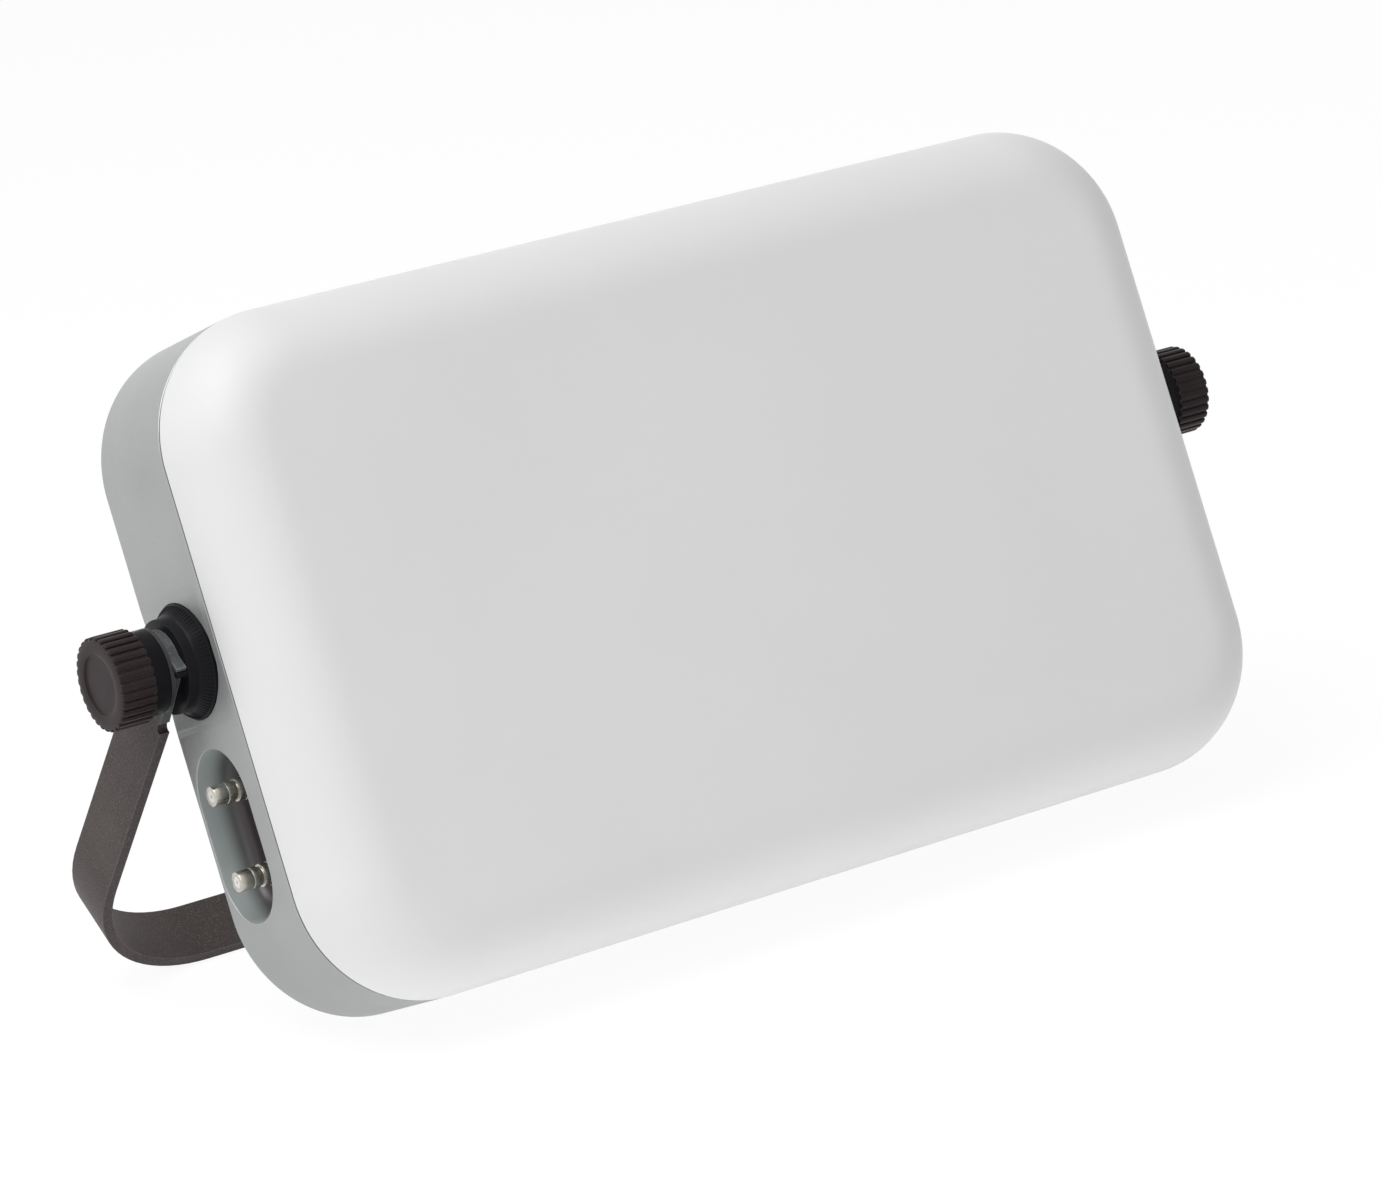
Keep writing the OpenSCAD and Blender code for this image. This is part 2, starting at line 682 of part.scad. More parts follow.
module hub(side) color([0.13, 0.12, 0.13]) {
    difference() {
        panel_axis(side, seat_x) rotate_extrude() hub_section();
        panel_axis(side, seat_x - over) cylinder(r = stud_r + turn_gap, h = flange_t + hub_out + strap_t + 2*over);
        for (z = [-1, 1]) panel_axis(side, seat_x - over) translate([-z*hub_screw_pitch/2, 0, 0])
            cylinder(r = screw_r, h = over + flange_t + 4);
    }
    on_bracket() on_side(side) translate([hub_x - bite, -lug_n, lug_s]) rotate([0, 90, 0])
        cylinder(r = lug_r, h = strap_t + bite);
}

module anchor(side) color([0.5, 0.5, 0.52]) on_panel() on_side(side) difference() {
    translate([anchor_x - anchor_t, pivot_y - anchor_w/2, pivot_z - anchor_h/2]) cube([anchor_t, anchor_w, anchor_h]);
    translate([anchor_x - anchor_t - over, pivot_y, pivot_z]) rotate([0, 90, 0])
        cylinder(r = stud_r + turn_gap, h = anchor_t + 2*over);
    for (z = [-1, 1]) translate([anchor_x - anchor_t - over, pivot_y, pivot_z + z*hub_screw_pitch/2])
        rotate([0, 90, 0]) cylinder(r = screw_r + loose_gap, h = anchor_t + 2*over);
}

// The studs' hexagonal heads bear on the anchors inside the case
module stud(side) color([0.62, 0.62, 0.64]) {
    panel_axis(side, anchor_x - anchor_t) cylinder(r = stud_r, h = stud_end - anchor_x + anchor_t);
    panel_axis(side, anchor_x - anchor_t - stud_head_t) cylinder(r = stud_head_af/sqrt(3), h = stud_head_t, $fn = 6);
}

module hub_screws() color([0.5, 0.5, 0.5]) for (side = [-1, 1], z = [-1, 1]) {
    panel_axis(side, anchor_x - anchor_t) translate([-z*hub_screw_pitch/2, 0, 0])
        cylinder(r = screw_r, h = anchor_t + housing_wall + 3);
    panel_axis(side, anchor_x - anchor_t - screw_head_h) translate([-z*hub_screw_pitch/2, 0, 0])
        cylinder(r = screw_head_r, h = screw_head_h);
}

// ---- Bracket ----

function bend_arc(r, from, to) = [for (i = [0:bend_steps])
    let (a = from + (to - from)*i/bend_steps) bend_c + r*[cos(a), sin(a)]];

// Half of the strap's edge outline, from the pivot down one arm to the middle of the crossbar
module strap_half() {
    polygon(concat(
        [[strap_x, 0], [strap_x, -flat_len]],
        bend_arc(bend_r, splay, -90),
        [[0, -reach], [0, strap_t - reach]],
        bend_arc(bend_r - strap_t, -90, splay),
        [[strap_x - strap_t, strap_t*tan(splay/2) - flat_len], [strap_x - strap_t, 0]]));
}

module strap() color([0.36, 0.33, 0.33]) on_bracket() difference() {
    union() {
        rotate([90, 0, 0]) linear_extrude(strap_w, center = true) {
            strap_half();
            mirror([1, 0]) strap_half();
        }
        for (side = [-1, 1]) {
            on_axis(side, strap_x - strap_t) cylinder(r = head_r, h = strap_t);
            on_side(side) translate([strap_x - strap_t, -strap_w/2, 0]) cube([strap_t, strap_w/2, ear_s]);
        }
    }
    for (side = [-1, 1]) on_side(side) {
        translate([strap_x - strap_t - over, 0, 0]) rotate([0, 90, 0]) cylinder(r = bush_r, h = strap_t + 2*over);
        translate([strap_x - strap_t - over, relief - strap_w/2 - relief_cut, -flat_len])
            cube([strap_t + 2*over, relief_cut, flat_len + ear_face]);
        translate([strap_x - strap_t - over, -strap_w/2 + relief/2, -flat_len])
            rotate([0, 90, 0]) cylinder(r = notch_r, h = strap_t + 2*over);
    }
}

module strap_bushes() color([0.85, 0.84, 0.8]) for (side = [-1, 1]) difference() {
    pivot_axis(side, strap_x - strap_t) cylinder(r = bush_r, h = strap_t);
    pivot_axis(side, strap_x - strap_t - over) cylinder(r = spigot_r + turn_gap, h = strap_t + 2*over);
}

// ---- Clamps ----

module washer(side) color([0.7, 0.7, 0.72]) difference() {
    pivot_axis(side, washer_x) cylinder(r = collar_r, h = washer_t);
    pivot_axis(side, washer_x - over) cylinder(r = stud_r + turn_gap, h = washer_t + 2*over);
}

grip_root = knob_r - rib_r;
core_r = brass_r + 2;

module knob_body() {
    difference() {
        union() {
            cylinder(r = collar_r, h = knob_len);
            translate([0, 0, knob_len - grip_len]) {
                cylinder(r = grip_root, h = grip_len);
                for (i = [0:rib_count - 1]) rotate(i*360/rib_count) translate([grip_root, 0, 0])
                    cylinder(r = rib_r, h = grip_len);
            }
        }
        difference() {
            translate([0, 0, -over]) cylinder(r = collar_r - collar_wall, h = knob_len - grip_len + over);
            translate([0, 0, -2*over]) cylinder(r = core_r, h = knob_len);
        }
        translate([0, 0, knob_len - cap_t]) cylinder(r = cap_r, h = cap_t + over);
        translate([0, 0, -over]) cylinder(r = brass_r, h = brass_len + over);
    }
}

module knob(side) color([0.17, 0.15, 0.16]) pivot_axis(side, knob_x) knob_body();

module knob_nut(side) color("goldenrod") pivot_axis(side, knob_x) difference() {
    cylinder(r = brass_r, h = brass_len);
    translate([0, 0, -over]) cylinder(r = stud_r + turn_gap, h = brass_len + 2*over);
}

module knob_cap(side) color([0.19, 0.17, 0.18]) pivot_axis(side, knob_x + knob_len - cap_t) difference() {
    cylinder(r = cap_r, h = cap_t);
    translate([0, 0, cap_t - 0.4]) cylinder(r = cap_r - 0.9, h = over);
}

radome();
gasket();
housing();
case_inserts();
case_screws();
ground_plate();
ground_pillars();
ground_screws();
feed_board();
patch_plates();
patch_posts();
amplifier_case();
amplifier_lid();
amplifier_board();
amplifier_chips();
amplifier_screws();
thermal_pad();
control_board();
control_shield();
control_pillars();
coax_transmit();
coax_receive();
coax_feed();
vent_plug();
jack_shells();
jack_insulators();
jack_contacts();
jack_washers();
jack_nuts();
hub(-1);  // hub_left
hub(1);  // hub_right
anchor(-1);  // anchor_left
anchor(1);  // anchor_right
stud(-1);  // stud_left
stud(1);  // stud_right
hub_screws();
strap();
strap_bushes();
washer(-1);  // washer_left
washer(1);  // washer_right
knob(-1);  // knob_left
knob(1);  // knob_right
knob_nut(-1);  // knob_nut_left
knob_nut(1);  // knob_nut_right
knob_cap(-1);  // knob_cap_left
knob_cap(1);  // knob_cap_right
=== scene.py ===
import json
from math import acos, atan, atan2, cos, hypot, pi, radians, sin, sqrt

import bmesh
import bpy
from mathutils import Matrix, Vector


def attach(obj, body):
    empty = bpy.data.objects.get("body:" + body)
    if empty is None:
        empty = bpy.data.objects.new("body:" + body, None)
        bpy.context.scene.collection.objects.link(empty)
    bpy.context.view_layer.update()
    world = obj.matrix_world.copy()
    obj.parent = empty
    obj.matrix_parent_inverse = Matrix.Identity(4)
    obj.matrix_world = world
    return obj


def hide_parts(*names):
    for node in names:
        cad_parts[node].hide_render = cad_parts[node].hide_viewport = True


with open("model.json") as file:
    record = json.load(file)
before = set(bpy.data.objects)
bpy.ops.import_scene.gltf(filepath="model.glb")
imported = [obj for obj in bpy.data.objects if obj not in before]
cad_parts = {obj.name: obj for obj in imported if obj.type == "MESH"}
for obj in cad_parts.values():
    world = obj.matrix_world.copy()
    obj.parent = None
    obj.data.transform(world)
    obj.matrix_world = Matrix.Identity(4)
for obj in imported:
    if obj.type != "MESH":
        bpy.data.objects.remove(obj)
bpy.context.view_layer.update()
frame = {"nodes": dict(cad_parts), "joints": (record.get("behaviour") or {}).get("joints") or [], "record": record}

scene = bpy.context.scene
mm = 0.001
record = frame["record"]


# Where things are: the pivot, the panel's lean and the bracket's swing come from the frame
def jointNamed(name):
    return next(j for j in frame["joints"] if j["name"] == name)


pivot = Vector(jointNamed("bracket_hinge")["pos_m"])
jackTips = {m["name"]: Vector(m["pos_m"]) for m in record["mounts"]}
jackUp = jackTips["jack_transmit"] - jackTips["jack_receive"]
lean = atan2(jackUp.y, jackUp.z)

panel = {
    "width": 345, "height": 210, "cornerRadius": 40.3,
    "housingDepth": 43.6, "radomeDepth": 25.3, "seam": 0.8,
    "pivotDepth": 23.4, "pivotHeight": 11.2,
}
bracket = {"reach": 135.3, "width": 20}

panelFrame = (Matrix.Translation(pivot) @ Matrix.Rotation(-lean, 4, "X")
              @ Matrix.Translation((0, -panel["pivotDepth"]*mm, -panel["pivotHeight"]*mm)))
barCorner = hypot(bracket["reach"], bracket["width"]/2)*mm
swing = atan(bracket["width"]/2/bracket["reach"]) + acos(pivot.z/barCorner)
bracketFrame = Matrix.Translation(pivot) @ Matrix.Rotation(swing, 4, "X")


# meshes made in code

def linkNew(name, mesh):
    obj = bpy.data.objects.new(name, mesh)
    scene.collection.objects.link(obj)
    return obj


def meshFrom(name, points, faces, place=Matrix.Identity(4), turned=False):
    # a turned mesh has its points on the axis joined
    mesh = bpy.data.meshes.new(name)
    mesh.from_pydata([place @ (Vector(p)*mm) for p in points], [], faces)
    work = bmesh.new()
    work.from_mesh(mesh)
    if turned:
        bmesh.ops.remove_doubles(work, verts=work.verts, dist=1e-7)
        bmesh.ops.dissolve_degenerate(work, edges=work.edges, dist=1e-8)
    bmesh.ops.recalc_face_normals(work, faces=work.faces)
    work.to_mesh(mesh)
    work.free()
    return linkNew(name, mesh)


def loftRings(rings, closed=False):
    # rings of equal length; capped at both ends unless the last ring meets the first
    count = len(rings[0])
    points = [p for ring in rings for p in ring]
    faces = []
    spans = len(rings) if closed else len(rings) - 1
    for i in range(spans):
        a, b = i*count, (i + 1) % len(rings)*count
        for k in range(count):
            n = (k + 1) % count
            faces.append((a + k, a + n, b + n, b + k))
    if not closed:
        faces.append(tuple(range(count)))
        faces.append(tuple(range(len(points) - count, len(points))))
    return points, faces


def loftMesh(name, rings, place=Matrix.Identity(4), closed=False):
    points, faces = loftRings(rings, closed)
    return meshFrom(name, points, faces, place)


def circleRing(along, radius, segments, y=0.0, z=0.0):
    # a circle about the X axis, or about a line beside it
    return [(along, y + radius*cos(2*pi*k/segments), z + radius*sin(2*pi*k/segments))
            for k in range(segments)]


def latheMesh(name, profile, segments=96, place=Matrix.Identity(4)):
    # profile of (radius, along) turned about the X axis; ends on the axis close by themselves
    rings = [circleRing(along, radius, segments) for radius, along in profile]
    points, faces = loftRings(rings, closed=profile[0][0] > 0)
    if profile[0][0] <= 0:
        faces = faces[:-2]
    return meshFrom(name, points, faces, place, turned=True)


def arcPoints(centre, radius, start, end, steps):
    angles = [radians(start + (end - start)*i/steps) for i in range(steps + 1)]
    return [(centre[0] + radius*cos(a), centre[1] + radius*sin(a)) for a in angles]


def roundedOutline(halfWidth, halfHeight, radius, arcSteps=26):
    outline = []
    for x, z, start in ((1, 1, 0), (-1, 1, 90), (-1, -1, 180), (1, -1, 270)):
        outline += arcPoints((x*(halfWidth - radius), z*(halfHeight - radius)), radius,
                             start, start + 90, arcSteps)
    return outline


def panelRing(inset, depth, arcSteps=26):
    outline = roundedOutline(panel["width"]/2 - inset, panel["height"]/2 - inset,
                             max(panel["cornerRadius"] - inset, 1), arcSteps)
    return [(x, depth, z) for x, z in outline]


def freeze(obj):
    # the object with its modifiers applied
    graph = bpy.context.evaluated_depsgraph_get()
    mesh = bpy.data.meshes.new_from_object(obj.evaluated_get(graph), preserve_all_data_layers=True,
                                           depsgraph=graph)
    label = obj.name
    bpy.data.objects.remove(obj)
    mesh.name = label
    return linkNew(label, mesh)


def joined(name, objects):
    work = bmesh.new()
    for obj in objects:
        obj.data.transform(obj.matrix_world)
        work.from_mesh(obj.data)
    mesh = bpy.data.meshes.new(name)
    work.to_mesh(mesh)
    work.free()
    for obj in objects:
        bpy.data.objects.remove(obj)
    return linkNew(name, mesh)


def cutAway(obj, cutters):
    for cutter in cutters:
        step = obj.modifiers.new("cut", "BOOLEAN")
        step.operation = "DIFFERENCE"
        step.solver = "EXACT"
        step.object = cutter
    result = freeze(obj)
    for cutter in cutters:
        bpy.data.objects.remove(cutter)
    return result


def shadeByAngle(obj, degrees=32, weighted=True):
    work = bmesh.new()
    work.from_mesh(obj.data)
    for face in work.faces:
        face.smooth = True
    for edge in work.edges:
        if len(edge.link_faces) == 2:
            edge.smooth = edge.calc_face_angle(0) < radians(degrees)
    work.to_mesh(obj.data)
    work.free()
    if weighted:
        step = obj.modifiers.new("weighted", "WEIGHTED_NORMAL")
        step.keep_sharp = True
        step.weight = 50
        obj = freeze(obj)
    return obj


def rodAlongX(name, fromX, toX, y, z, radius, place, segments=64):
    rings = [circleRing(x, radius, segments, y, z) for x in (fromX, toX)]
    return loftMesh(name, rings, place)


def rodAlongY(name, x, z, fromY, toY, radius, place, segments=48):
    rings = [[(x + radius*cos(2*pi*k/segments), y, z + radius*sin(2*pi*k/segments))
              for k in range(segments)] for y in (fromY, toY)]
    return loftMesh(name, rings, place)


# Geometry Nodes trees for what repeats

def newTree(name, inputs):
    tree = bpy.data.node_groups.new(name, "GeometryNodeTree")
    tree.interface.new_socket(name="Geometry", in_out="INPUT", socket_type="NodeSocketGeometry")
    for label, kind, value in inputs:
        socket = tree.interface.new_socket(name=label, in_out="INPUT", socket_type=kind)
        if value is not None:
            socket.default_value = value
    tree.interface.new_socket(name="Geometry", in_out="OUTPUT", socket_type="NodeSocketGeometry")
    return tree, tree.nodes.new("NodeGroupInput"), tree.nodes.new("NodeGroupOutput")


def mathNode(tree, operation, first, second):
    node = tree.nodes.new("ShaderNodeMath")
    node.operation = operation
    for socket, value in zip(node.inputs, (first, second)):
        if isinstance(value, (int, float)):
            socket.default_value = value
        else:
            tree.links.new(value, socket)
    return node.outputs[0]


def endTree(tree, given, result, instances):
    realize = tree.nodes.new("GeometryNodeRealizeInstances")
    finish = tree.nodes.new("GeometryNodeSetMaterial")
    tree.links.new(instances, realize.inputs["Geometry"])
    tree.links.new(realize.outputs[0], finish.inputs["Geometry"])
    tree.links.new(given.outputs["Material"], finish.inputs["Material"])
    tree.links.new(finish.outputs[0], result.inputs["Geometry"])


def ringTree():
    # repeats one part round the X axis
    tree, given, result = newTree("ringOfParts", [
        ("Count", "NodeSocketInt", 30), ("Material", "NodeSocketMaterial", None)])
    points = tree.nodes.new("GeometryNodePoints")
    index = tree.nodes.new("GeometryNodeInputIndex")
    turn = tree.nodes.new("ShaderNodeCombineXYZ")
    toRotation = tree.nodes.new("FunctionNodeEulerToRotation")
    place = tree.nodes.new("GeometryNodeInstanceOnPoints")
    step = mathNode(tree, "DIVIDE", 2*pi, given.outputs["Count"])
    tree.links.new(mathNode(tree, "MULTIPLY", index.outputs[0], step), turn.inputs["X"])
    tree.links.new(turn.outputs[0], toRotation.inputs[0])
    tree.links.new(given.outputs["Count"], points.inputs["Count"])
    tree.links.new(points.outputs[0], place.inputs["Points"])
    tree.links.new(given.outputs["Geometry"], place.inputs["Instance"])
    tree.links.new(toRotation.outputs[0], place.inputs["Rotation"])
    endTree(tree, given, result, place.outputs[0])
    return tree


def rowTree():
    # repeats one part along the X axis
    tree, given, result = newTree("rowOfParts", [
        ("Count", "NodeSocketInt", 6), ("Pitch", "NodeSocketFloat", 0.001),
        ("Material", "NodeSocketMaterial", None)])
    points = tree.nodes.new("GeometryNodePoints")
    index = tree.nodes.new("GeometryNodeInputIndex")
    where = tree.nodes.new("ShaderNodeCombineXYZ")
    place = tree.nodes.new("GeometryNodeInstanceOnPoints")
    along = mathNode(tree, "MULTIPLY", index.outputs[0], given.outputs["Pitch"])
    tree.links.new(along, where.inputs["X"])
    tree.links.new(given.outputs["Count"], points.inputs["Count"])
    tree.links.new(where.outputs[0], points.inputs["Position"])
    tree.links.new(points.outputs[0], place.inputs["Points"])
    tree.links.new(given.outputs["Geometry"], place.inputs["Instance"])
    endTree(tree, given, result, place.outputs[0])
    return tree


def scatterTree():
    # sets a part at each point of a mesh, turned at random about its own Y axis
    tree, given, result = newTree("partsAtPoints", [
        ("Part", "NodeSocketObject", None), ("Turn", "NodeSocketFloat", 1.0),
        ("Seed", "NodeSocketInt", 7), ("Material", "NodeSocketMaterial", None)])
    points = tree.nodes.new("GeometryNodeMeshToPoints")
    part = tree.nodes.new("GeometryNodeObjectInfo")
    chance = tree.nodes.new("FunctionNodeRandomValue")
    chance.data_type = "FLOAT"
    turn = tree.nodes.new("ShaderNodeCombineXYZ")
    toRotation = tree.nodes.new("FunctionNodeEulerToRotation")
    place = tree.nodes.new("GeometryNodeInstanceOnPoints")
    tree.links.new(given.outputs["Geometry"], points.inputs["Mesh"])
    tree.links.new(given.outputs["Part"], part.inputs["Object"])
    tree.links.new(given.outputs["Turn"], chance.inputs[3])
    tree.links.new(given.outputs["Seed"], chance.inputs["Seed"])
    tree.links.new(chance.outputs[1], turn.inputs["Y"])
    tree.links.new(turn.outputs[0], toRotation.inputs[0])
    tree.links.new(points.outputs[0], place.inputs["Points"])
    tree.links.new(part.outputs["Geometry"], place.inputs["Instance"])
    tree.links.new(toRotation.outputs[0], place.inputs["Rotation"])
    endTree(tree, given, result, place.outputs[0])
    return tree


trees = {"ring": ringTree(), "row": rowTree(), "scatter": scatterTree()}


def runTree(obj, kind, values, place=Matrix.Identity(4)):
    tree = trees[kind]
    step = obj.modifiers.new(kind, "NODES")
    step.node_group = tree
    for item in tree.interface.items_tree:
        if item.in_out == "INPUT" and item.name in values:
            step[item.identifier] = values[item.name]
    obj = freeze(obj)
    obj.data.transform(place)
    return obj


# shader node groups and finishes

def shaderGroup(name, inputs, outputs):
    group = bpy.data.node_groups.new(name, "ShaderNodeTree")
    for label, kind, value in inputs:
        socket = group.interface.new_socket(name=label, in_out="INPUT", socket_type=kind)
        socket.default_value = value
    for label, kind in outputs:
        group.interface.new_socket(name=label, in_out="OUTPUT", socket_type=kind)
    return group, group.nodes.new("NodeGroupInput"), group.nodes.new("NodeGroupOutput")


def objectCoords(group, stretch=None):
    # stretched coordinates are first turned back by the panel's lean
    coords = group.nodes.new("ShaderNodeTexCoord")
    if stretch is None:
        return coords.outputs["Object"]
    turned = group.nodes.new("ShaderNodeMapping")
    turned.inputs["Rotation"].default_value = (lean, 0, 0)
    mapping = group.nodes.new("ShaderNodeMapping")
    mapping.inputs["Scale"].default_value = stretch
    group.links.new(coords.outputs["Object"], turned.inputs["Vector"])
    group.links.new(turned.outputs[0], mapping.inputs["Vector"])
    return mapping.outputs[0]


def noiseNode(group, vector, scale, detail=3.0, roughness=0.55):
    noise = group.nodes.new("ShaderNodeTexNoise")
    group.links.new(vector, noise.inputs["Vector"])
    noise.inputs["Detail"].default_value = detail
    noise.inputs["Roughness"].default_value = roughness
    if isinstance(scale, (int, float)):
        noise.inputs["Scale"].default_value = scale
    else:
        group.links.new(scale, noise.inputs["Scale"])
    return noise.outputs["Fac"]


def rampNode(group, value, low, high):
    spread = group.nodes.new("ShaderNodeMapRange")
    spread.interpolation_type = "SMOOTHSTEP"
    spread.inputs["From Min"].default_value = low
    spread.inputs["From Max"].default_value = high
    group.links.new(value, spread.inputs["Value"])
    return spread.outputs[0]


def mouldedSkinGroup():
    # fine moulded or sprayed texture: a height, a patchy mask for colour and roughness
    group, given, result = shaderGroup("mouldedSkin", [
        ("Grain", "NodeSocketFloat", 1500.0), ("Patches", "NodeSocketFloat", 25.0)],
        [("Height", "NodeSocketFloat"), ("Patch", "NodeSocketFloat"), ("Speck", "NodeSocketFloat")])
    coords = objectCoords(group)
    grain = noiseNode(group, coords, given.outputs["Grain"], 4.0, 0.6)
    patch = noiseNode(group, coords, given.outputs["Patches"], 3.0)
    group.links.new(grain, result.inputs["Height"])
    group.links.new(rampNode(group, patch, 0.3, 0.7), result.inputs["Patch"])
    group.links.new(rampNode(group, grain, 0.50, 0.66), result.inputs["Speck"])
    return group


def brushedGroup():
    # fine lines along the panel, broken up into patches
    group, given, result = shaderGroup("brushedLines", [
        ("Lines", "NodeSocketFloat", 30.0), ("Patches", "NodeSocketFloat", 18.0)],
        [("Height", "NodeSocketFloat"), ("Patch", "NodeSocketFloat")])
    across = objectCoords(group, (1.0, 60.0, 1.0))
    lines = noiseNode(group, across, given.outputs["Lines"], 6.0, 0.7)
    patch = noiseNode(group, objectCoords(group), given.outputs["Patches"], 3.0)
    group.links.new(lines, result.inputs["Height"])
    group.links.new(rampNode(group, patch, 0.35, 0.68), result.inputs["Patch"])
    return group


# the edge mask lightens corners: painted highlight as well as rubbed wear
def edgeGroup():
    # how far the rounded normal leaves the true one: 1 on a corner, 0 on a flat
    group, given, result = shaderGroup("edgeRub", [("Reach", "NodeSocketFloat", 0.0006)],
                                       [("Edge", "NodeSocketFloat")])
    rounded = group.nodes.new("ShaderNodeBevel")
    rounded.samples = 4
    true = group.nodes.new("ShaderNodeNewGeometry")
    compare = group.nodes.new("ShaderNodeVectorMath")
    compare.operation = "DOT_PRODUCT"
    group.links.new(given.outputs["Reach"], rounded.inputs["Radius"])
    group.links.new(rounded.outputs[0], compare.inputs[0])
    group.links.new(true.outputs["Normal"], compare.inputs[1])
    spread = group.nodes.new("ShaderNodeMapRange")
    spread.inputs["From Min"].default_value = 0.995
    spread.inputs["From Max"].default_value = 0.86
    group.links.new(compare.outputs["Value"], spread.inputs["Value"])
    group.links.new(spread.outputs[0], result.inputs["Edge"])
    return group


groups = {"skin": mouldedSkinGroup(), "brushed": brushedGroup(), "edge": edgeGroup()}


def placeGroup(tree, kind, **values):
    node = tree.nodes.new("ShaderNodeGroup")
    node.node_tree = groups[kind]
    for label, value in values.items():
        node.inputs[label].default_value = value
    return node


def mixColour(tree, factor, first, second, mode="MIX"):
    mix = tree.nodes.new("ShaderNodeMix")
    mix.data_type = "RGBA"
    mix.blend_type = mode
    given = ((mix.inputs["Factor"], factor), (mix.inputs[6], first), (mix.inputs[7], second))
    for socket, value in given:
        if hasattr(value, "links"):
            tree.links.new(value, socket)
        elif isinstance(value, tuple):
            socket.default_value = (*value, 1.0)
        else:
            socket.default_value = value
    return mix.outputs[2]


def mixNumber(tree, factor, low, high):
    spread = tree.nodes.new("ShaderNodeMapRange")
    spread.inputs["To Min"].default_value = low
    spread.inputs["To Max"].default_value = high
    tree.links.new(factor, spread.inputs["Value"])
    return spread.outputs[0]


def surfaceFinish(name, look):
    # one Principled surface with grain, patches of colour and roughness, specks, and edges lightened as painted
    # highlight and rubbed wear
    material = bpy.data.materials.new(name)
    material.use_nodes = True
    tree = material.node_tree
    shader = tree.nodes["Principled BSDF"]
    shader.inputs["Metallic"].default_value = look.get("metallic", 0.0)
    shader.inputs["IOR"].default_value = 1.46
    shader.inputs["Specular IOR Level"].default_value = look.get("specular", 0.5)
    if look.get("kind", "skin") == "brushed":
        skin = placeGroup(tree, "brushed", Lines=look.get("grain", 30.0),
                          Patches=look.get("patches", 18.0))
    else:
        skin = placeGroup(tree, "skin", Grain=look.get("grain", 1500.0),
                          Patches=look.get("patches", 25.0))
    colour = mixColour(tree, skin.outputs["Patch"], look["colour"], look["second"])
    # a darker tone towards the pocket floor, set by X, is painted shade
    if "deep" in look:
        split = tree.nodes.new("ShaderNodeSeparateXYZ")
        tree.links.new(objectCoords(tree), split.inputs[0])
        share = rampNode(tree, split.outputs["X"], *look["deepX"])
        colour = mixColour(tree, share, colour, look["deep"])
    if "speck" in look:
        colour = mixColour(tree, skin.outputs["Speck"], colour, look["speck"])
    # edges lightened as painted highlight and as rubbed wear
    if "edge" in look:
        edgeHighlight = placeGroup(tree, "edge", Reach=look.get("edgeReach", 0.0006))
        share = mathNode(tree, "MULTIPLY", edgeHighlight.outputs["Edge"], look.get("edgeShare", 0.5))
        colour = mixColour(tree, share, colour, look["edge"])
    tree.links.new(colour, shader.inputs["Base Color"])
    smooth = look["roughness"]
    rough = mixNumber(tree, skin.outputs["Patch"], smooth, smooth + look.get("roughSpread", 0.06))
    tree.links.new(rough, shader.inputs["Roughness"])
    bump = tree.nodes.new("ShaderNodeBump")
    bump.inputs["Strength"].default_value = look.get("bump", 0.1)
    bump.inputs["Distance"].default_value = look.get("bumpDepth", 0.0002)
    tree.links.new(skin.outputs["Height"], bump.inputs["Height"])
    tree.links.new(bump.outputs[0], shader.inputs["Normal"])
    return material


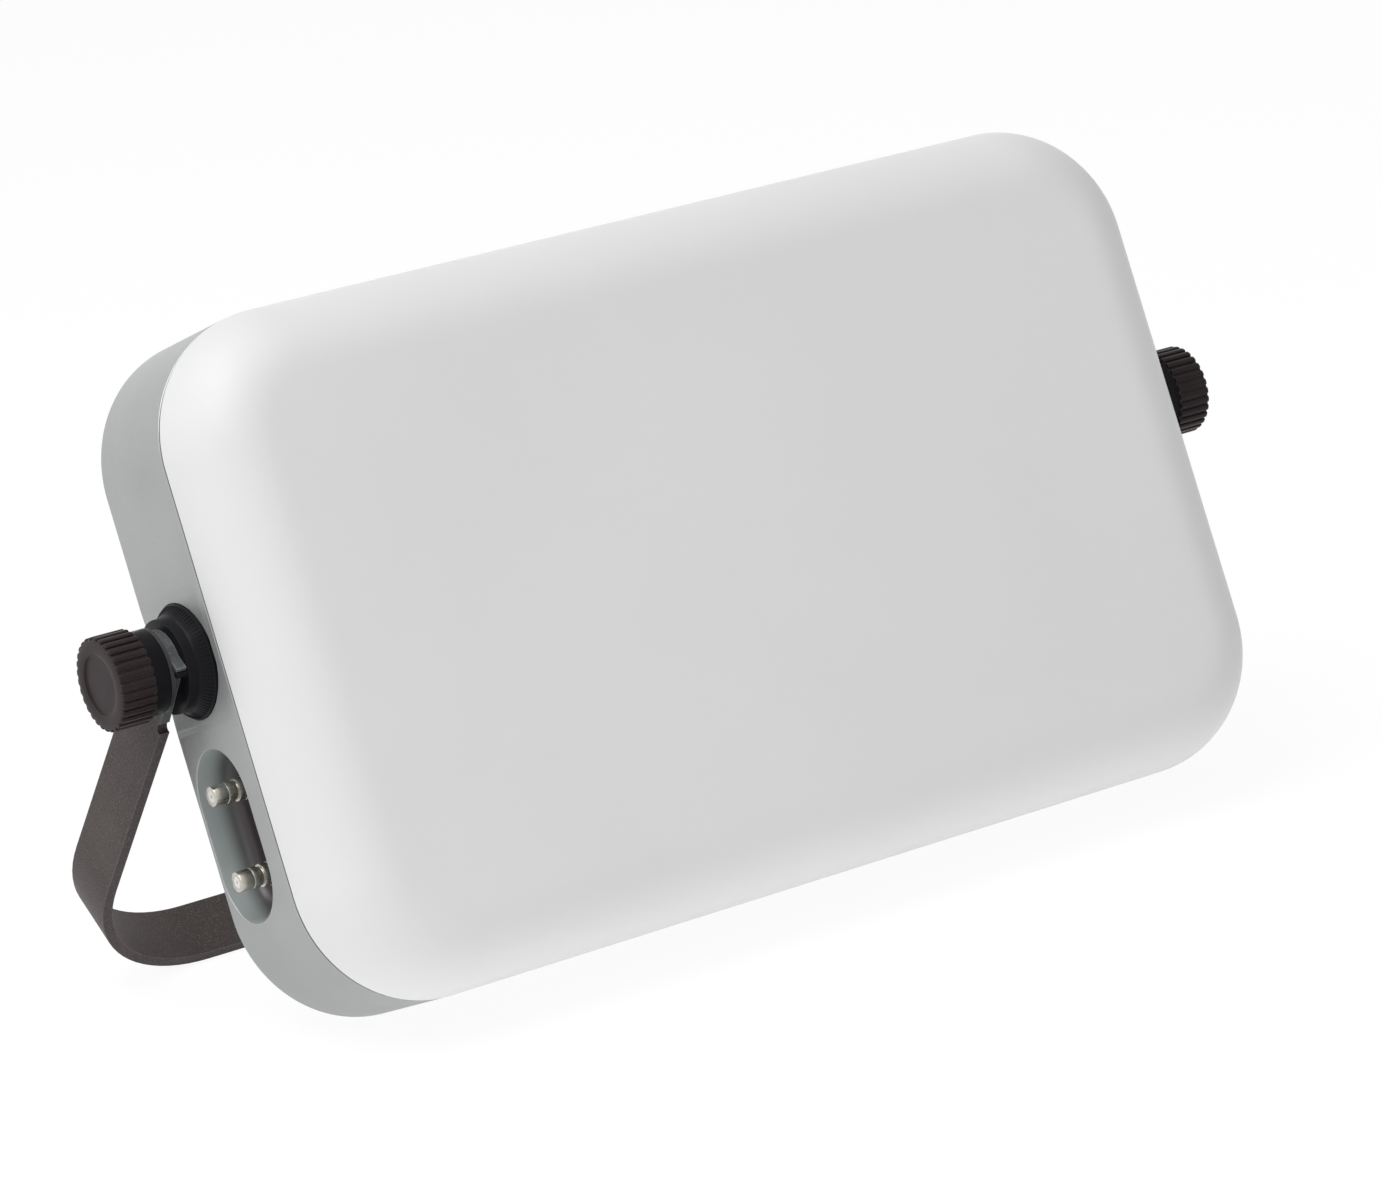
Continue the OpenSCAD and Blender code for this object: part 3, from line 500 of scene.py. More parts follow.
finishes = {
    "radomeWhite": {"colour": (0.78, 0.78, 0.785), "second": (0.76, 0.76, 0.765), "roughness": 0.38,
                    "specular": 0.34, "roughSpread": 0.05, "grain": 700.0, "patches": 9.0,
                    "bump": 0.05, "bumpDepth": 0.0001},
    "caseGrey": {"kind": "brushed", "colour": (0.395, 0.408, 0.404),
                 "second": (0.355, 0.368, 0.364), "roughness": 0.36, "grain": 26.0, "patches": 14.0,
                 "bump": 0.55, "bumpDepth": 0.0003, "metallic": 0.5, "edge": (0.60, 0.63, 0.62),
                 "edgeShare": 0.3},
    # pocket inside: a lighter teal than the case as painted reflection, darker towards the floor as painted shade
    "pocketGrey": {"kind": "brushed", "colour": (0.55, 0.61, 0.605), "second": (0.50, 0.56, 0.555),
                   "roughness": 0.36, "grain": 14.0, "patches": 24.0, "bump": 0.10,
                   "bumpDepth": 0.0002, "metallic": 0.35, "deepX": (-0.1685, -0.1605),
                   "deep": (0.062, 0.050, 0.054)},
    "strapCoat": {"colour": (0.062, 0.048, 0.047), "second": (0.051, 0.040, 0.039),
                  "speck": (0.112, 0.092, 0.090), "roughness": 0.48, "specular": 0.20,
                  "grain": 2300.0, "patches": 30.0, "bump": 0.6, "bumpDepth": 0.0002,
                  "edge": (0.26, 0.26, 0.26), "edgeShare": 0.35},
    # a lighter grey copy of the strap's coat with brighter edges, as painted light on the head's side faces
    "strapRim": {"colour": (0.062, 0.069, 0.070), "second": (0.050, 0.056, 0.057),
                 "speck": (0.10, 0.11, 0.11), "roughness": 0.42, "grain": 1300.0, "patches": 30.0,
                 "bump": 0.3, "bumpDepth": 0.0002, "edge": (0.36, 0.38, 0.38), "edgeShare": 0.6},
    # black steel for the washers, and painted shade on the jack contacts
    "blackSteel": {"colour": (0.018, 0.016, 0.017), "second": (0.014, 0.012, 0.013),
                   "roughness": 0.36, "grain": 2000.0, "bump": 0.1, "edge": (0.08, 0.08, 0.08),
                   "edgeShare": 0.4},
    "jackFace": {"colour": (0.76, 0.75, 0.72), "second": (0.73, 0.72, 0.69), "roughness": 0.35,
                 "grain": 2000.0, "bump": 0.05},
    "knobBlack": {"colour": (0.028, 0.019, 0.020), "second": (0.022, 0.015, 0.016),
                  "roughness": 0.26, "specular": 0.10, "grain": 1800.0, "patches": 60.0,
                  "bump": 0.12, "bumpDepth": 0.0001, "edge": (0.14, 0.125, 0.125), "edgeShare": 0.5,
                  "edgeReach": 0.0005},
    "hubBlack": {"colour": (0.0085, 0.008, 0.010), "second": (0.007, 0.0065, 0.0085),
                 "roughness": 0.28, "specular": 0.09, "grain": 1600.0, "patches": 50.0,
                 "bump": 0.12, "bumpDepth": 0.0001},
    "jackNickel": {"colour": (0.56, 0.53, 0.475), "second": (0.52, 0.495, 0.44), "roughness": 0.24,
                   "roughSpread": 0.04, "grain": 2500.0, "patches": 220.0, "bump": 0.03,
                   "bumpDepth": 0.0001, "metallic": 1.0},
    "sealRubber": {"colour": (0.018, 0.018, 0.018), "second": (0.026, 0.026, 0.026),
                   "roughness": 0.7, "grain": 1500.0, "bump": 0.25},
    "steelBright": {"colour": (0.55, 0.55, 0.56), "second": (0.47, 0.47, 0.48), "roughness": 0.28,
                    "grain": 2200.0, "patches": 150.0, "metallic": 1.0, "bump": 0.08},
    "yellowBrass": {"colour": (0.78, 0.60, 0.25), "second": (0.66, 0.49, 0.19), "roughness": 0.25,
                    "grain": 1800.0, "patches": 120.0, "metallic": 1.0, "bump": 0.08},
    "milledAluminium": {"kind": "brushed", "colour": (0.70, 0.71, 0.72),
                        "second": (0.62, 0.63, 0.64), "roughness": 0.34, "grain": 40.0,
                        "patches": 20.0, "metallic": 1.0, "bump": 0.15},
    "boardGreen": {"colour": (0.02, 0.16, 0.07), "second": (0.015, 0.12, 0.055),
                   "speck": (0.05, 0.24, 0.10), "roughness": 0.36, "grain": 900.0, "patches": 60.0,
                   "bump": 0.1},
    "plateCopper": {"colour": (0.72, 0.38, 0.20), "second": (0.60, 0.29, 0.15), "roughness": 0.3,
                    "grain": 1200.0, "patches": 40.0, "metallic": 1.0, "bump": 0.08},
    "postWhite": {"colour": (0.82, 0.81, 0.78), "second": (0.78, 0.77, 0.74), "roughness": 0.45,
                  "grain": 1400.0, "bump": 0.1},
    "chipBlack": {"colour": (0.02, 0.02, 0.021), "second": (0.03, 0.03, 0.03), "roughness": 0.5,
                  "grain": 2600.0, "bump": 0.2},
    "padGrey": {"colour": (0.35, 0.38, 0.42), "second": (0.31, 0.34, 0.38), "roughness": 0.75,
                "grain": 1000.0, "bump": 0.2},
    "shieldTin": {"kind": "brushed", "colour": (0.62, 0.63, 0.64), "second": (0.56, 0.57, 0.58),
                  "roughness": 0.3, "grain": 60.0, "metallic": 1.0, "bump": 0.1},
}
materials = {name: surfaceFinish(name, look) for name, look in finishes.items()}
print("finishes made:", len(materials))


def dress(obj, material):
    obj.data.materials.clear()
    obj.data.materials.append(materials[material])
    return obj


def settle(obj, material, body, nodes=()):
    # material, body and the CAD nodes this piece stands for
    if material:
        dress(obj, material)
    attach(obj, body)
    if nodes:
        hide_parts(*nodes)
    return obj


# radome

radomeSizes = {"wall": 2.5, "shoulder": 24.0, "rimRound": 0.2, "steps": 24,
               "frontRings": (2, 12, 40)}


def makeRadome():
    wall, shoulder, steps = radomeSizes["wall"], radomeSizes["shoulder"], radomeSizes["steps"]
    depth, rim = panel["radomeDepth"], radomeSizes["rimRound"]

    def shell(offset):
        # from the middle of the face outwards to the rim
        rings = [panelRing(shoulder + extra, -(depth - offset))
                 for extra in reversed(radomeSizes["frontRings"])]
        for i in range(steps + 1):
            angle = radians(90 - 90*i/steps)
            inset = offset + (shoulder - offset)*(1 - cos(angle))
            rings.append(panelRing(inset, -(depth - offset)*sin(angle)))
        return rings

    outer, inner = shell(0), shell(wall)
    outer[-1] = panelRing(0, -rim)
    edge = [panelRing(rim*0.3, -rim*0.3), panelRing(rim, 0)]
    rings = outer + edge + list(reversed(inner))
    return shadeByAngle(loftMesh("radome_cover", rings, panelFrame), 40)


settle(makeRadome(), "radomeWhite", "panel", ["radome"])
print("radome made")

# case with its connector pocket

caseSizes = {
    "wall": 3.0, "rearWall": 3.0, "rearRound": 1.5, "rimRound": 0.2,
    "pocketRadius": 15.6, "pocketRun": 22.0, "pocketHeight": -42.0, "pocketDepth": 12.6,
    "pocketSkin": 2.4,
    "pocketWall": 2.0, "mouthRound": 0.4, "floorRound": 4.0,
    "scoopDepth": 1.0, "scoopHalf": 21.0, "scoopStart": 4.0,
    "flangeRadius": 17.8, "flangeSeat": 1.2, "studHole": 3.3, "barrelHole": 3.65,
    "screwInset": 6.8, "sideScrew": 54.0, "screwSeat": 14.0, "counterbore": 3.1, "column": 5.0,
    "ventAt": (110.0, -60.0), "ventRadius": 4.5,
}
pocketMid = panel["housingDepth"] - caseSizes["pocketSkin"] - caseSizes["pocketRadius"]
sideX = panel["width"]/2
cornerIn = (panel["cornerRadius"] - caseSizes["screwInset"])*cos(pi/4)
cornerScrew = (sideX - panel["cornerRadius"] + cornerIn,
               panel["height"]/2 - panel["cornerRadius"] + cornerIn)
sideScrew = (caseSizes["sideScrew"], panel["height"]/2 - caseSizes["screwInset"])
screwPoints = [(x*p[0], z*p[1]) for p in (cornerScrew, sideScrew) for x in (-1, 1) for z in (-1, 1)]


def stadiumRing(x, offset, arcSteps=28):
    radius = caseSizes["pocketRadius"] + offset
    half, mid = caseSizes["pocketRun"]/2, caseSizes["pocketHeight"]
    outline = arcPoints((pocketMid, mid + half), radius, 0, 180, arcSteps)
    outline += arcPoints((pocketMid, mid - half), radius, 180, 360, arcSteps)
    return [(x, y, z) for y, z in outline]


def pocketCutter():
    mouth, floor, depth = caseSizes["mouthRound"], caseSizes["floorRound"], caseSizes["pocketDepth"]
    rings = [stadiumRing(-sideX - 3, mouth*1.05), stadiumRing(-sideX - 0.05, mouth*1.05)]
    for i in range(7):
        angle = radians(90*i/6)
        rings.append(stadiumRing(-sideX + mouth*(1 - cos(angle)), mouth*(1 - sin(angle))))
    for i in range(9):
        angle = radians(90*i/8)
        rings.append(stadiumRing(-sideX + depth - floor*(1 - sin(angle)),
                                 -0.25 - floor*(1 - cos(angle))))
    return loftMesh("pocketCutter", rings, panelFrame)


def scoopCutter(side):
    deep, half = caseSizes["scoopDepth"], caseSizes["scoopHalf"]
    radius = (half*half + deep*deep)/(2*deep)
    rings = []
    for y in (caseSizes["scoopStart"], panel["housingDepth"] + 4):
        ring = []
        for i in range(41):
            z = -half*1.15 + 2.3*half*i/40
            x = sideX - deep + radius - sqrt(radius*radius - z*z)
            ring.append((side*x, y, panel["pivotHeight"] + z))
        ring += [(side*(sideX + 9), y, panel["pivotHeight"] + half*1.15),
                 (side*(sideX + 9), y, panel["pivotHeight"] - half*1.15)]
        rings.append(ring)
    return loftMesh("scoopCutter", rings, panelFrame)


def makeCase():
    depth, rear, rim = panel["housingDepth"], caseSizes["rearRound"], caseSizes["rimRound"]
    seam = panel["seam"]
    rings = [panelRing(rim + 3, seam, 30), panelRing(rim, seam, 30), panelRing(0, seam + rim, 30)]
    for i in range(7):
        angle = radians(90*i/6)
        rings.append(panelRing(rear*(1 - cos(angle)), depth - rear*(1 - sin(angle)), 30))
    rings += [panelRing(rear + 1, depth, 30), panelRing(rear + 6, depth, 30)]
    block = loftMesh("case_shell", rings, panelFrame)

    hollow = loftMesh("hollow", [panelRing(caseSizes["wall"], y, 30)
                                 for y in (seam - 2, depth - caseSizes["rearWall"])], panelFrame)
    floorX = -sideX + caseSizes["pocketDepth"] + caseSizes["pocketWall"]
    tub = loftMesh("tub", [stadiumRing(-sideX - 2, caseSizes["pocketWall"]),
                           stadiumRing(floorX, caseSizes["pocketWall"])], panelFrame)
    columns = [rodAlongY("column", x, z, seam - 4, depth + 2, caseSizes["column"], panelFrame)
               for x, z in screwPoints]
    trim = loftMesh("trim", [[(x, y, z) for x, z in ((-sideX - 9, -90), (-sideX + 40, -90),
                                                     (-sideX + 40, 10), (-sideX - 9, 10))]
                             for y in (depth - 0.6, depth + 20)], panelFrame)
    tub = cutAway(tub, [trim])
    hollow = cutAway(hollow, [joined("kept", [tub] + columns)])

    first = [pocketCutter(), scoopCutter(-1), scoopCutter(1),
             rodAlongY("vent", *caseSizes["ventAt"], depth - 9, depth + 4,
                       caseSizes["ventRadius"], panelFrame)]
    first += [rodAlongY("bore", x, z, caseSizes["screwSeat"], depth + 4,
                        caseSizes["counterbore"], panelFrame) for x, z in screwPoints]
    second, third = [], []
    y, z = panel["pivotDepth"], panel["pivotHeight"]
    for side in (-1, 1):
        seat = side*(sideX - caseSizes["flangeSeat"])
        second.append(rodAlongX("seat", seat, side*(sideX + 6), y, z,
                                caseSizes["flangeRadius"], panelFrame, 96))
        third.append(rodAlongX("stud", side*(sideX - 9), side*(sideX + 9), y, z,
                               caseSizes["studHole"], panelFrame))
    for tip in jackTips.values():
        local = panelFrame.inverted() @ tip
        second.append(rodAlongX("barrel", -sideX + 8, floorX + 4, local.y/mm, local.z/mm,
                                caseSizes["barrelHole"], panelFrame))
    case = cutAway(block, [hollow])
    for cutters in (first, second, third):
        case = cutAway(case, [joined("cutters", cutters)])
    case.name = "case_shell"
    return shadeByAngle(case, 30)


def paintWhere(obj, material, place, test):
    # a second finish on the faces whose centre and normal, in the given frame, pass the test
    obj.data.materials.append(materials[material])
    back = place.inverted()
    turn = back.to_3x3()
    last = len(obj.data.materials) - 1
    for face in obj.data.polygons:
        if test((back @ face.center)/mm, turn @ face.normal):
            face.material_index = last


def insidePocket(centre, normal):
    reach = caseSizes["pocketRadius"] + 0.1
    up = max(abs(centre.z - caseSizes["pocketHeight"]) - caseSizes["pocketRun"]/2, 0)
    across = hypot(centre.y - pocketMid, up)
    return -sideX + 0.7 < centre.x < -sideX + caseSizes["pocketDepth"] + 0.1 and across < reach


case = dress(makeCase(), "caseGrey")
# the pocket's inside gets a lighter teal finish as painted reflection, darker at its floor as painted shade
paintWhere(case, "pocketGrey", panelFrame, insidePocket)
settle(case, None, "panel", ["housing"])
print("case made")

# gasket between the two rims

gasketSizes = {"inset": 0.15, "width": 2.4, "bulge": 0.1}


def makeGasket():
    inner, high = gasketSizes["inset"] + gasketSizes["width"], panel["seam"]
    rings = [panelRing(inner, 0), panelRing(gasketSizes["inset"] + gasketSizes["bulge"], 0),
             panelRing(gasketSizes["inset"], high*0.3), panelRing(gasketSizes["inset"], high*0.7),
             panelRing(gasketSizes["inset"] + gasketSizes["bulge"], high), panelRing(inner, high)]
    return shadeByAngle(loftMesh("seam_gasket", rings, panelFrame, closed=True), 50)


settle(makeGasket(), "sealRubber", "panel", ["gasket"])
print("gasket made")

# case screws, at the bottom of their bores

screwSizes = {"shank": 1.5, "head": 2.8, "headHeight": 2.0, "socket": 1.25, "socketDepth": 1.2,
              "length": 21.0, "seat": 14.0}


def makeCaseScrews():
    head, high = screwSizes["head"], screwSizes["headHeight"]
    shank, tip, socket = screwSizes["shank"], -screwSizes["length"], screwSizes["socket"]
    floor = high - screwSizes["socketDepth"]
    dome = [(head*cos(radians(a)), high*0.45 + high*0.55*sin(radians(a))) for a in range(0, 61, 12)]
    profile = [(0, tip), (shank - 0.4, tip), (shank, tip + 0.4), (shank, 0), (head, 0)]
    profile += dome + [(socket + 0.1, dome[-1][1]), (socket, dome[-1][1] - 0.15), (socket, floor),
                       (0, floor)]
    part = latheMesh("screwPart", profile, 32)
    part.data.transform(Matrix.Rotation(pi/2, 4, "Z"))
    part = shadeByAngle(part, 35, weighted=False)
    points = bpy.data.meshes.new("screwPoints")
    points.from_pydata([(x*mm, screwSizes["seat"]*mm, z*mm) for x, z in screwPoints], [], [])
    values = {"Part": part, "Turn": 1.0, "Seed": 4, "Material": materials["steelBright"]}
    screws = runTree(linkNew("case_screw_set", points), "scatter", values, panelFrame)
    bpy.data.objects.remove(part)
    return screws


settle(makeCaseScrews(), None, "panel", ["case_screws"])
print("case screws made")

# hubs with their radial ticks and stop lug

hubSizes = {"flange": 17.6, "rim": 1.2, "cone": 3.5, "barrel": 14.4, "length": 8.2, "spigot": 6.0,
            "spigotLength": 3.3, "bore": 3.05, "ticks": 84, "tickLength": 2.0, "tickHeight": 0.16,
            "lugRadius": 1.1, "lugLength": 3.4, "lugAt": (-10.1, 8.1), "tickHalf": 0.17,
            "tickInset": 0.45}
hubPlace = {side: Matrix.Translation(pivot) @ Matrix.Scale(side, 4, (1, 0, 0)) for side in (-1, 1)}
sideNames = {-1: "left", 1: "right"}


def placeMirrored(obj, side):
    # the part is made for the +X side; on the other side it is mirrored and its faces turned back
    obj.data.transform(hubPlace[side])
    if side < 0:
        obj.data.flip_normals()
    return obj


def makeHub(side):
    seat, rim, cone = sideX - hubSizes["rim"], hubSizes["rim"], hubSizes["cone"]
    flange, barrel, length = hubSizes["flange"], hubSizes["barrel"], hubSizes["length"]
    bore, spigot, end = hubSizes["bore"], hubSizes["spigot"], length + hubSizes["spigotLength"]
    profile = [(bore, 0), (flange - 0.2, 0), (flange, 0.2), (flange, rim - 0.25),
               (flange - 0.08, rim - 0.05), (flange - 0.3, rim + 0.1)]
    profile += [(barrel + 0.5, rim + cone - 0.45), (barrel + 0.15, rim + cone - 0.1),
                (barrel, rim + cone + 0.4), (barrel, length - 0.35), (barrel - 0.1, length - 0.1),
                (barrel - 0.35, length)]
    profile += [(spigot, length), (spigot, end - 0.2), (spigot - 0.2, end), (bore, end)]
    body = latheMesh("hubBody", [(r, seat + a) for r, a in profile], 128)
    body = shadeByAngle(body, 30, weighted=False)
    # one tick lies along the cone just inside the flange's rim
    slope = cone/(flange - barrel)
    outer = flange - hubSizes["tickInset"]
    inner = outer - hubSizes["tickLength"]
    high, half = hubSizes["tickHeight"], hubSizes["tickHalf"]
    corners = []
    for radius in (inner, outer):
        along = seat + rim + (flange - radius)*slope
        corners += [(along - 0.3, -half, radius), (along - 0.3, half, radius),
                    (along + high, half*0.5, radius), (along + high, -half*0.5, radius)]
    faces = [(0, 1, 2, 3), (4, 7, 6, 5), (0, 4, 5, 1), (1, 5, 6, 2), (2, 6, 7, 3), (3, 7, 4, 0)]
    tick = meshFrom("tick", corners, faces)
    ticks = runTree(tick, "ring", {"Count": hubSizes["ticks"], "Material": materials["hubBlack"]})
    lugTurn = Matrix.Rotation(swing, 4, "X")
    lugY, lugZ = hubSizes["lugAt"]
    radius = hubSizes["lugRadius"]
    foot = seat + length
    tip = foot + hubSizes["lugLength"]
    lug = latheMesh("lug", [(0, foot - 0.4), (radius, foot - 0.4), (radius, tip - 0.3),
                            (radius - 0.3, tip), (0, tip)], 32)
    lug = shadeByAngle(lug, 35, weighted=False)
    lug.data.transform(lugTurn @ Matrix.Translation((0, lugY*mm, lugZ*mm)))
    hub = joined("hub_body_" + sideNames[side], [body, ticks, lug])
    return placeMirrored(hub, side)


for side in (-1, 1):
    settle(makeHub(side), "hubBlack", "panel", ["hub_" + sideNames[side]])
print("hubs made")

# knobs: a turned body with moulded ribs round the grip

knobSizes = {"start": 184.3, "length": 17.0, "collar": 12.8, "grip": 13.4, "rib": 14.3,
             "ribCount": 30, "gripLength": 11.4, "core": 7.05, "hollow": 11.0, "hollowDepth": 8.6,
             "insert": 5.05, "insertDepth": 12.8, "dish": 9.4, "dishDepth": 0.7, "ribFoot": 12.4}


def makeKnob(side):
    start, length = knobSizes["start"], knobSizes["length"]
    grip, collar = knobSizes["grip"], knobSizes["collar"]
    gripStart = length - knobSizes["gripLength"]
    dish, deep, insert = knobSizes["dish"], knobSizes["dishDepth"], knobSizes["insert"]
    core, hollow, cavity = knobSizes["core"], knobSizes["hollow"], knobSizes["hollowDepth"]
    profile = [(0, knobSizes["insertDepth"]), (insert, knobSizes["insertDepth"]), (insert, 0),
               (core, 0), (core, cavity - 0.4), (core + 0.4, cavity), (hollow - 0.4, cavity),
               (hollow, cavity - 0.4), (hollow, 0), (collar - 0.3, 0), (collar - 0.08, 0.1),
               (collar, 0.3), (collar, gripStart - 0.5), (collar + 0.06, gripStart - 0.2),
               (collar + 0.25, gripStart), (grip - 0.1, gripStart + 0.02), (grip, gripStart + 0.15)]
    profile += arcPoints((grip - 0.35, length - 0.35), 0.35, 0, 90, 5)
    profile += [(dish + 0.45, length), (dish + 0.15, length - 0.06), (dish, length - 0.25),
                (dish - 0.25, length - deep + 0.2), (dish - 0.7, length - deep + 0.02),
                (dish - 1.3, length - deep), (dish*0.5, length - deep + 0.05),
                (0, length - deep + 0.08)]
    body = latheMesh("knobBody", [(r, start + a) for r, a in profile], 120)
    body = shadeByAngle(body, 34, weighted=False)
    # one rib: a loaf that fades into the collar and ends round at the face
    top = knobSizes["rib"]
    stations = [(gripStart + 0.02, top - 0.12, 0.98), (gripStart + 0.18, top - 0.02, 1.03),
                (gripStart + 0.5, top, 1.05), (length - 1.2, top, 1.05),
                (length - 0.55, top - 0.05, 1.03), (length - 0.25, top - 0.2, 0.98),
                (length - 0.1, top - 0.5, 0.8)]
    rings = []
    low = knobSizes["ribFoot"]
    for along, high, half in stations:
        rise = high - low
        ring = [(start + along, y*half, low + rise*h) for y, h in (
            (-1.0, 0), (-1.0, 0.62), (-0.95, 0.80), (-0.80, 0.92), (-0.40, 0.985), (0, 1.0),
            (0.40, 0.985), (0.80, 0.92), (0.95, 0.80), (1.0, 0.62), (1.0, 0))]
        rings.append(ring)
    rib = shadeByAngle(loftMesh("rib", rings), 50, weighted=False)
    values = {"Count": knobSizes["ribCount"], "Material": materials["knobBlack"]}
    ribs = runTree(rib, "ring", values)
    knob = dress(joined("ribbed_knob_" + sideNames[side], [body, ribs]), "knobBlack")
    knob = placeMirrored(knob, side)

    # the collar behind the ribs is painted the darker hub black as painted shade
    def collarInShade(centre, normal):
        return abs(centre.x) < start + gripStart - 0.1

    paintWhere(knob, "hubBlack", hubPlace[1], collarInShade)
    return knob


for side in (-1, 1):
    name = sideNames[side]
    settle(makeKnob(side), None, "knob_" + name,
           ["knob_" + name, "knob_cap_" + name])
print("knobs made")

# strap: the frame's own solid with its edges rounded

strapSizes = {"edge": 0.45, "segments": 3, "weld": 0.02, "headFrom": -13.5}


def makeStrap():
    mesh = frame["nodes"]["strap"].data.copy()
    work = bmesh.new()
    work.from_mesh(mesh)
    bmesh.ops.remove_doubles(work, verts=work.verts, dist=strapSizes["weld"]*mm)
    bmesh.ops.dissolve_limit(work, angle_limit=radians(0.6), verts=work.verts, edges=work.edges)
    work.to_mesh(mesh)
    work.free()
    strap = linkNew("bracket_strap", mesh)
    step = strap.modifiers.new("edges", "BEVEL")
    step.width = strapSizes["edge"]*mm
    step.segments = strapSizes["segments"]
    step.limit_method = "ANGLE"
    step.angle_limit = radians(40)
    step.harden_normals = False
    strap = freeze(strap)
    return shadeByAngle(strap, 34)


# the strap's side faces round the head get a lighter copy of its coat as painted light
def onHeadRim(centre, normal):
    return centre.z > strapSizes["headFrom"] and abs(normal.x) < 0.5


strap = dress(makeStrap(), "strapCoat")
paintWhere(strap, "strapRim", bracketFrame, onHeadRim)
settle(strap, None, "bracket", ["strap"])
print("strap made")

# jacks: turned shells with threads, and their hex nuts

jackSizes = {"nose": 3.12, "noseLength": 4.6, "band": 3.2, "bandLength": 2.3, "groove": 2.85,
             "grooveLength": 1.0, "collar": 3.6, "collarLength": 2.1, "barrel": 3.6, "bore": 2.0,
             "flange": 4.8, "threadPitch": 0.6, "nutAcross": 9.6, "nutThick": 2.2,
             "washerThick": 0.6, "tail": 7}
jackOut = sideX + 3.6
pocketFloor = sideX - caseSizes["pocketDepth"]


def jackPlace(tip):
    local = panelFrame.inverted() @ tip
    return panelFrame @ Matrix.Translation((0, local.y, local.z)) @ Matrix.Scale(-1, 4, (1, 0, 0))


def makeJack(name, tip):
    # drawn from the middle outwards to +X, then mirrored to the -X side
    nose, barrel, groove = jackSizes["nose"], jackSizes["barrel"], jackSizes["groove"]
    bore, lip = jackSizes["bore"], jackSizes["flange"]
    rear = pocketFloor - caseSizes["pocketWall"]
    behind = rear - jackSizes["tail"]
    collar, band = jackSizes["collar"], jackSizes["band"]
    bandEnd = jackOut - jackSizes["noseLength"]
    bandStart = bandEnd - jackSizes["bandLength"]
    collarEnd = bandStart - jackSizes["grooveLength"]
    collarStart = collarEnd - jackSizes["collarLength"]
    profile = [(bore, behind), (lip - 0.2, behind), (lip, behind + 0.2), (lip, rear),
               (barrel - 0.12, rear), (barrel - 0.12, collarStart), (collar - 0.2, collarStart),
               (collar, collarStart + 0.2), (collar, collarEnd - 0.4),
               (collar - 0.12, collarEnd - 0.12), (collar - 0.4, collarEnd), (groove, collarEnd),
               (groove, bandStart), (band - 0.2, bandStart), (band, bandStart + 0.2),
               (band, bandEnd - 0.3), (band - 0.06, bandEnd - 0.1), (nose - 0.12, bandEnd),
               (nose - 0.12, bandEnd + 0.12), (nose, bandEnd + 0.25), (nose, jackOut - 0.3),
               (nose - 0.1, jackOut - 0.08), (nose - 0.3, jackOut), (bore, jackOut)]
    shell = shadeByAngle(latheMesh("shell", profile, 72), 32, weighted=False)
    crest = [(barrel - 0.25, 0), (barrel, 0.2), (barrel, 0.32), (barrel - 0.25, 0.52)]
    ring = latheMesh("thread", crest, 48)
    ring = shadeByAngle(ring, 20, weighted=False)
    nutOuter = pocketFloor + jackSizes["washerThick"] + jackSizes["nutThick"]
    turns = int((collarStart - 0.2 - nutOuter)/jackSizes["threadPitch"])
    threads = runTree(ring, "row", {"Count": turns, "Pitch": jackSizes["threadPitch"]*mm,
                                    "Material": materials["jackNickel"]},
                      Matrix.Translation(((nutOuter + 0.1)*mm, 0, 0)))
    jack = joined(name, [shell, threads])
    jack.data.transform(jackPlace(tip))
    jack.data.flip_normals()
    return jack


def makeNut(name, tip):
    across, thick = jackSizes["nutAcross"], jackSizes["nutThick"]
    start = pocketFloor + jackSizes["washerThick"]
    segments = 96
    corner = across/2/cos(pi/6)

    def hexRing(along, limit):
        ring = []
        for k in range(segments):
            angle = 2*pi*k/segments
            flat = across/2/cos((angle + pi/6) % (pi/3) - pi/6)
            radius = min(flat, limit)
            ring.append((along, radius*cos(angle), radius*sin(angle)))
        return ring

    def boreRing(along, radius):
        return circleRing(along, radius, segments)

    barrel = jackSizes["barrel"]
    end, wide, face = start + thick, barrel + 0.25, across/2 - 0.05
    rings = [boreRing(start, wide), hexRing(start, face), hexRing(start + 0.28, corner),
             hexRing(end - 0.28, corner), hexRing(end, face), boreRing(end, wide),
             boreRing(end - 0.25, barrel), boreRing(start + 0.25, barrel)]
    nut = loftMesh(name, rings, closed=True)
    nut = shadeByAngle(nut, 28, weighted=False)
    nut.data.transform(jackPlace(tip))
    nut.data.flip_normals()
    return nut


shells = [makeJack("shell_" + name, tip) for name, tip in jackTips.items()]
settle(joined("jack_shell_pair", shells), "jackNickel", "panel", ["jack_shells"])
nuts = [makeNut("nut_" + name, tip) for name, tip in jackTips.items()]
settle(joined("jack_nut_pair", nuts), "jackNickel", "panel", ["jack_nuts"])
print("jacks made")

# pieces that keep the frame's own solid

keptFinishes = {
    "yellowBrass": ["case_inserts", "knob_nut_left", "knob_nut_right"],
    "steelBright": ["ground_screws", "amplifier_screws", "hub_screws", "stud_left", "stud_right",
                    "jack_washers"],
    # the jack contacts are painted black as painted shade in their holes; the washers are black steel
    "blackSteel": ["washer_left", "washer_right", "jack_contacts"],
    "milledAluminium": ["ground_plate", "ground_pillars", "amplifier_case", "amplifier_lid",
                        "anchor_left", "anchor_right"],
    "boardGreen": ["feed_board", "amplifier_board", "control_board"],
    "plateCopper": ["patch_plates", "coax_transmit", "coax_receive", "coax_feed"],
    "postWhite": ["patch_posts", "strap_bushes"],
    "jackFace": ["jack_insulators"],
    "chipBlack": ["amplifier_chips", "control_pillars", "vent_plug"],
    "padGrey": ["thermal_pad"],
    "shieldTin": ["control_shield"],
}
for material, nodes in keptFinishes.items():
    for node in nodes:
        dress(frame["nodes"][node], material)
print("kept nodes dressed")

# floor, light and camera

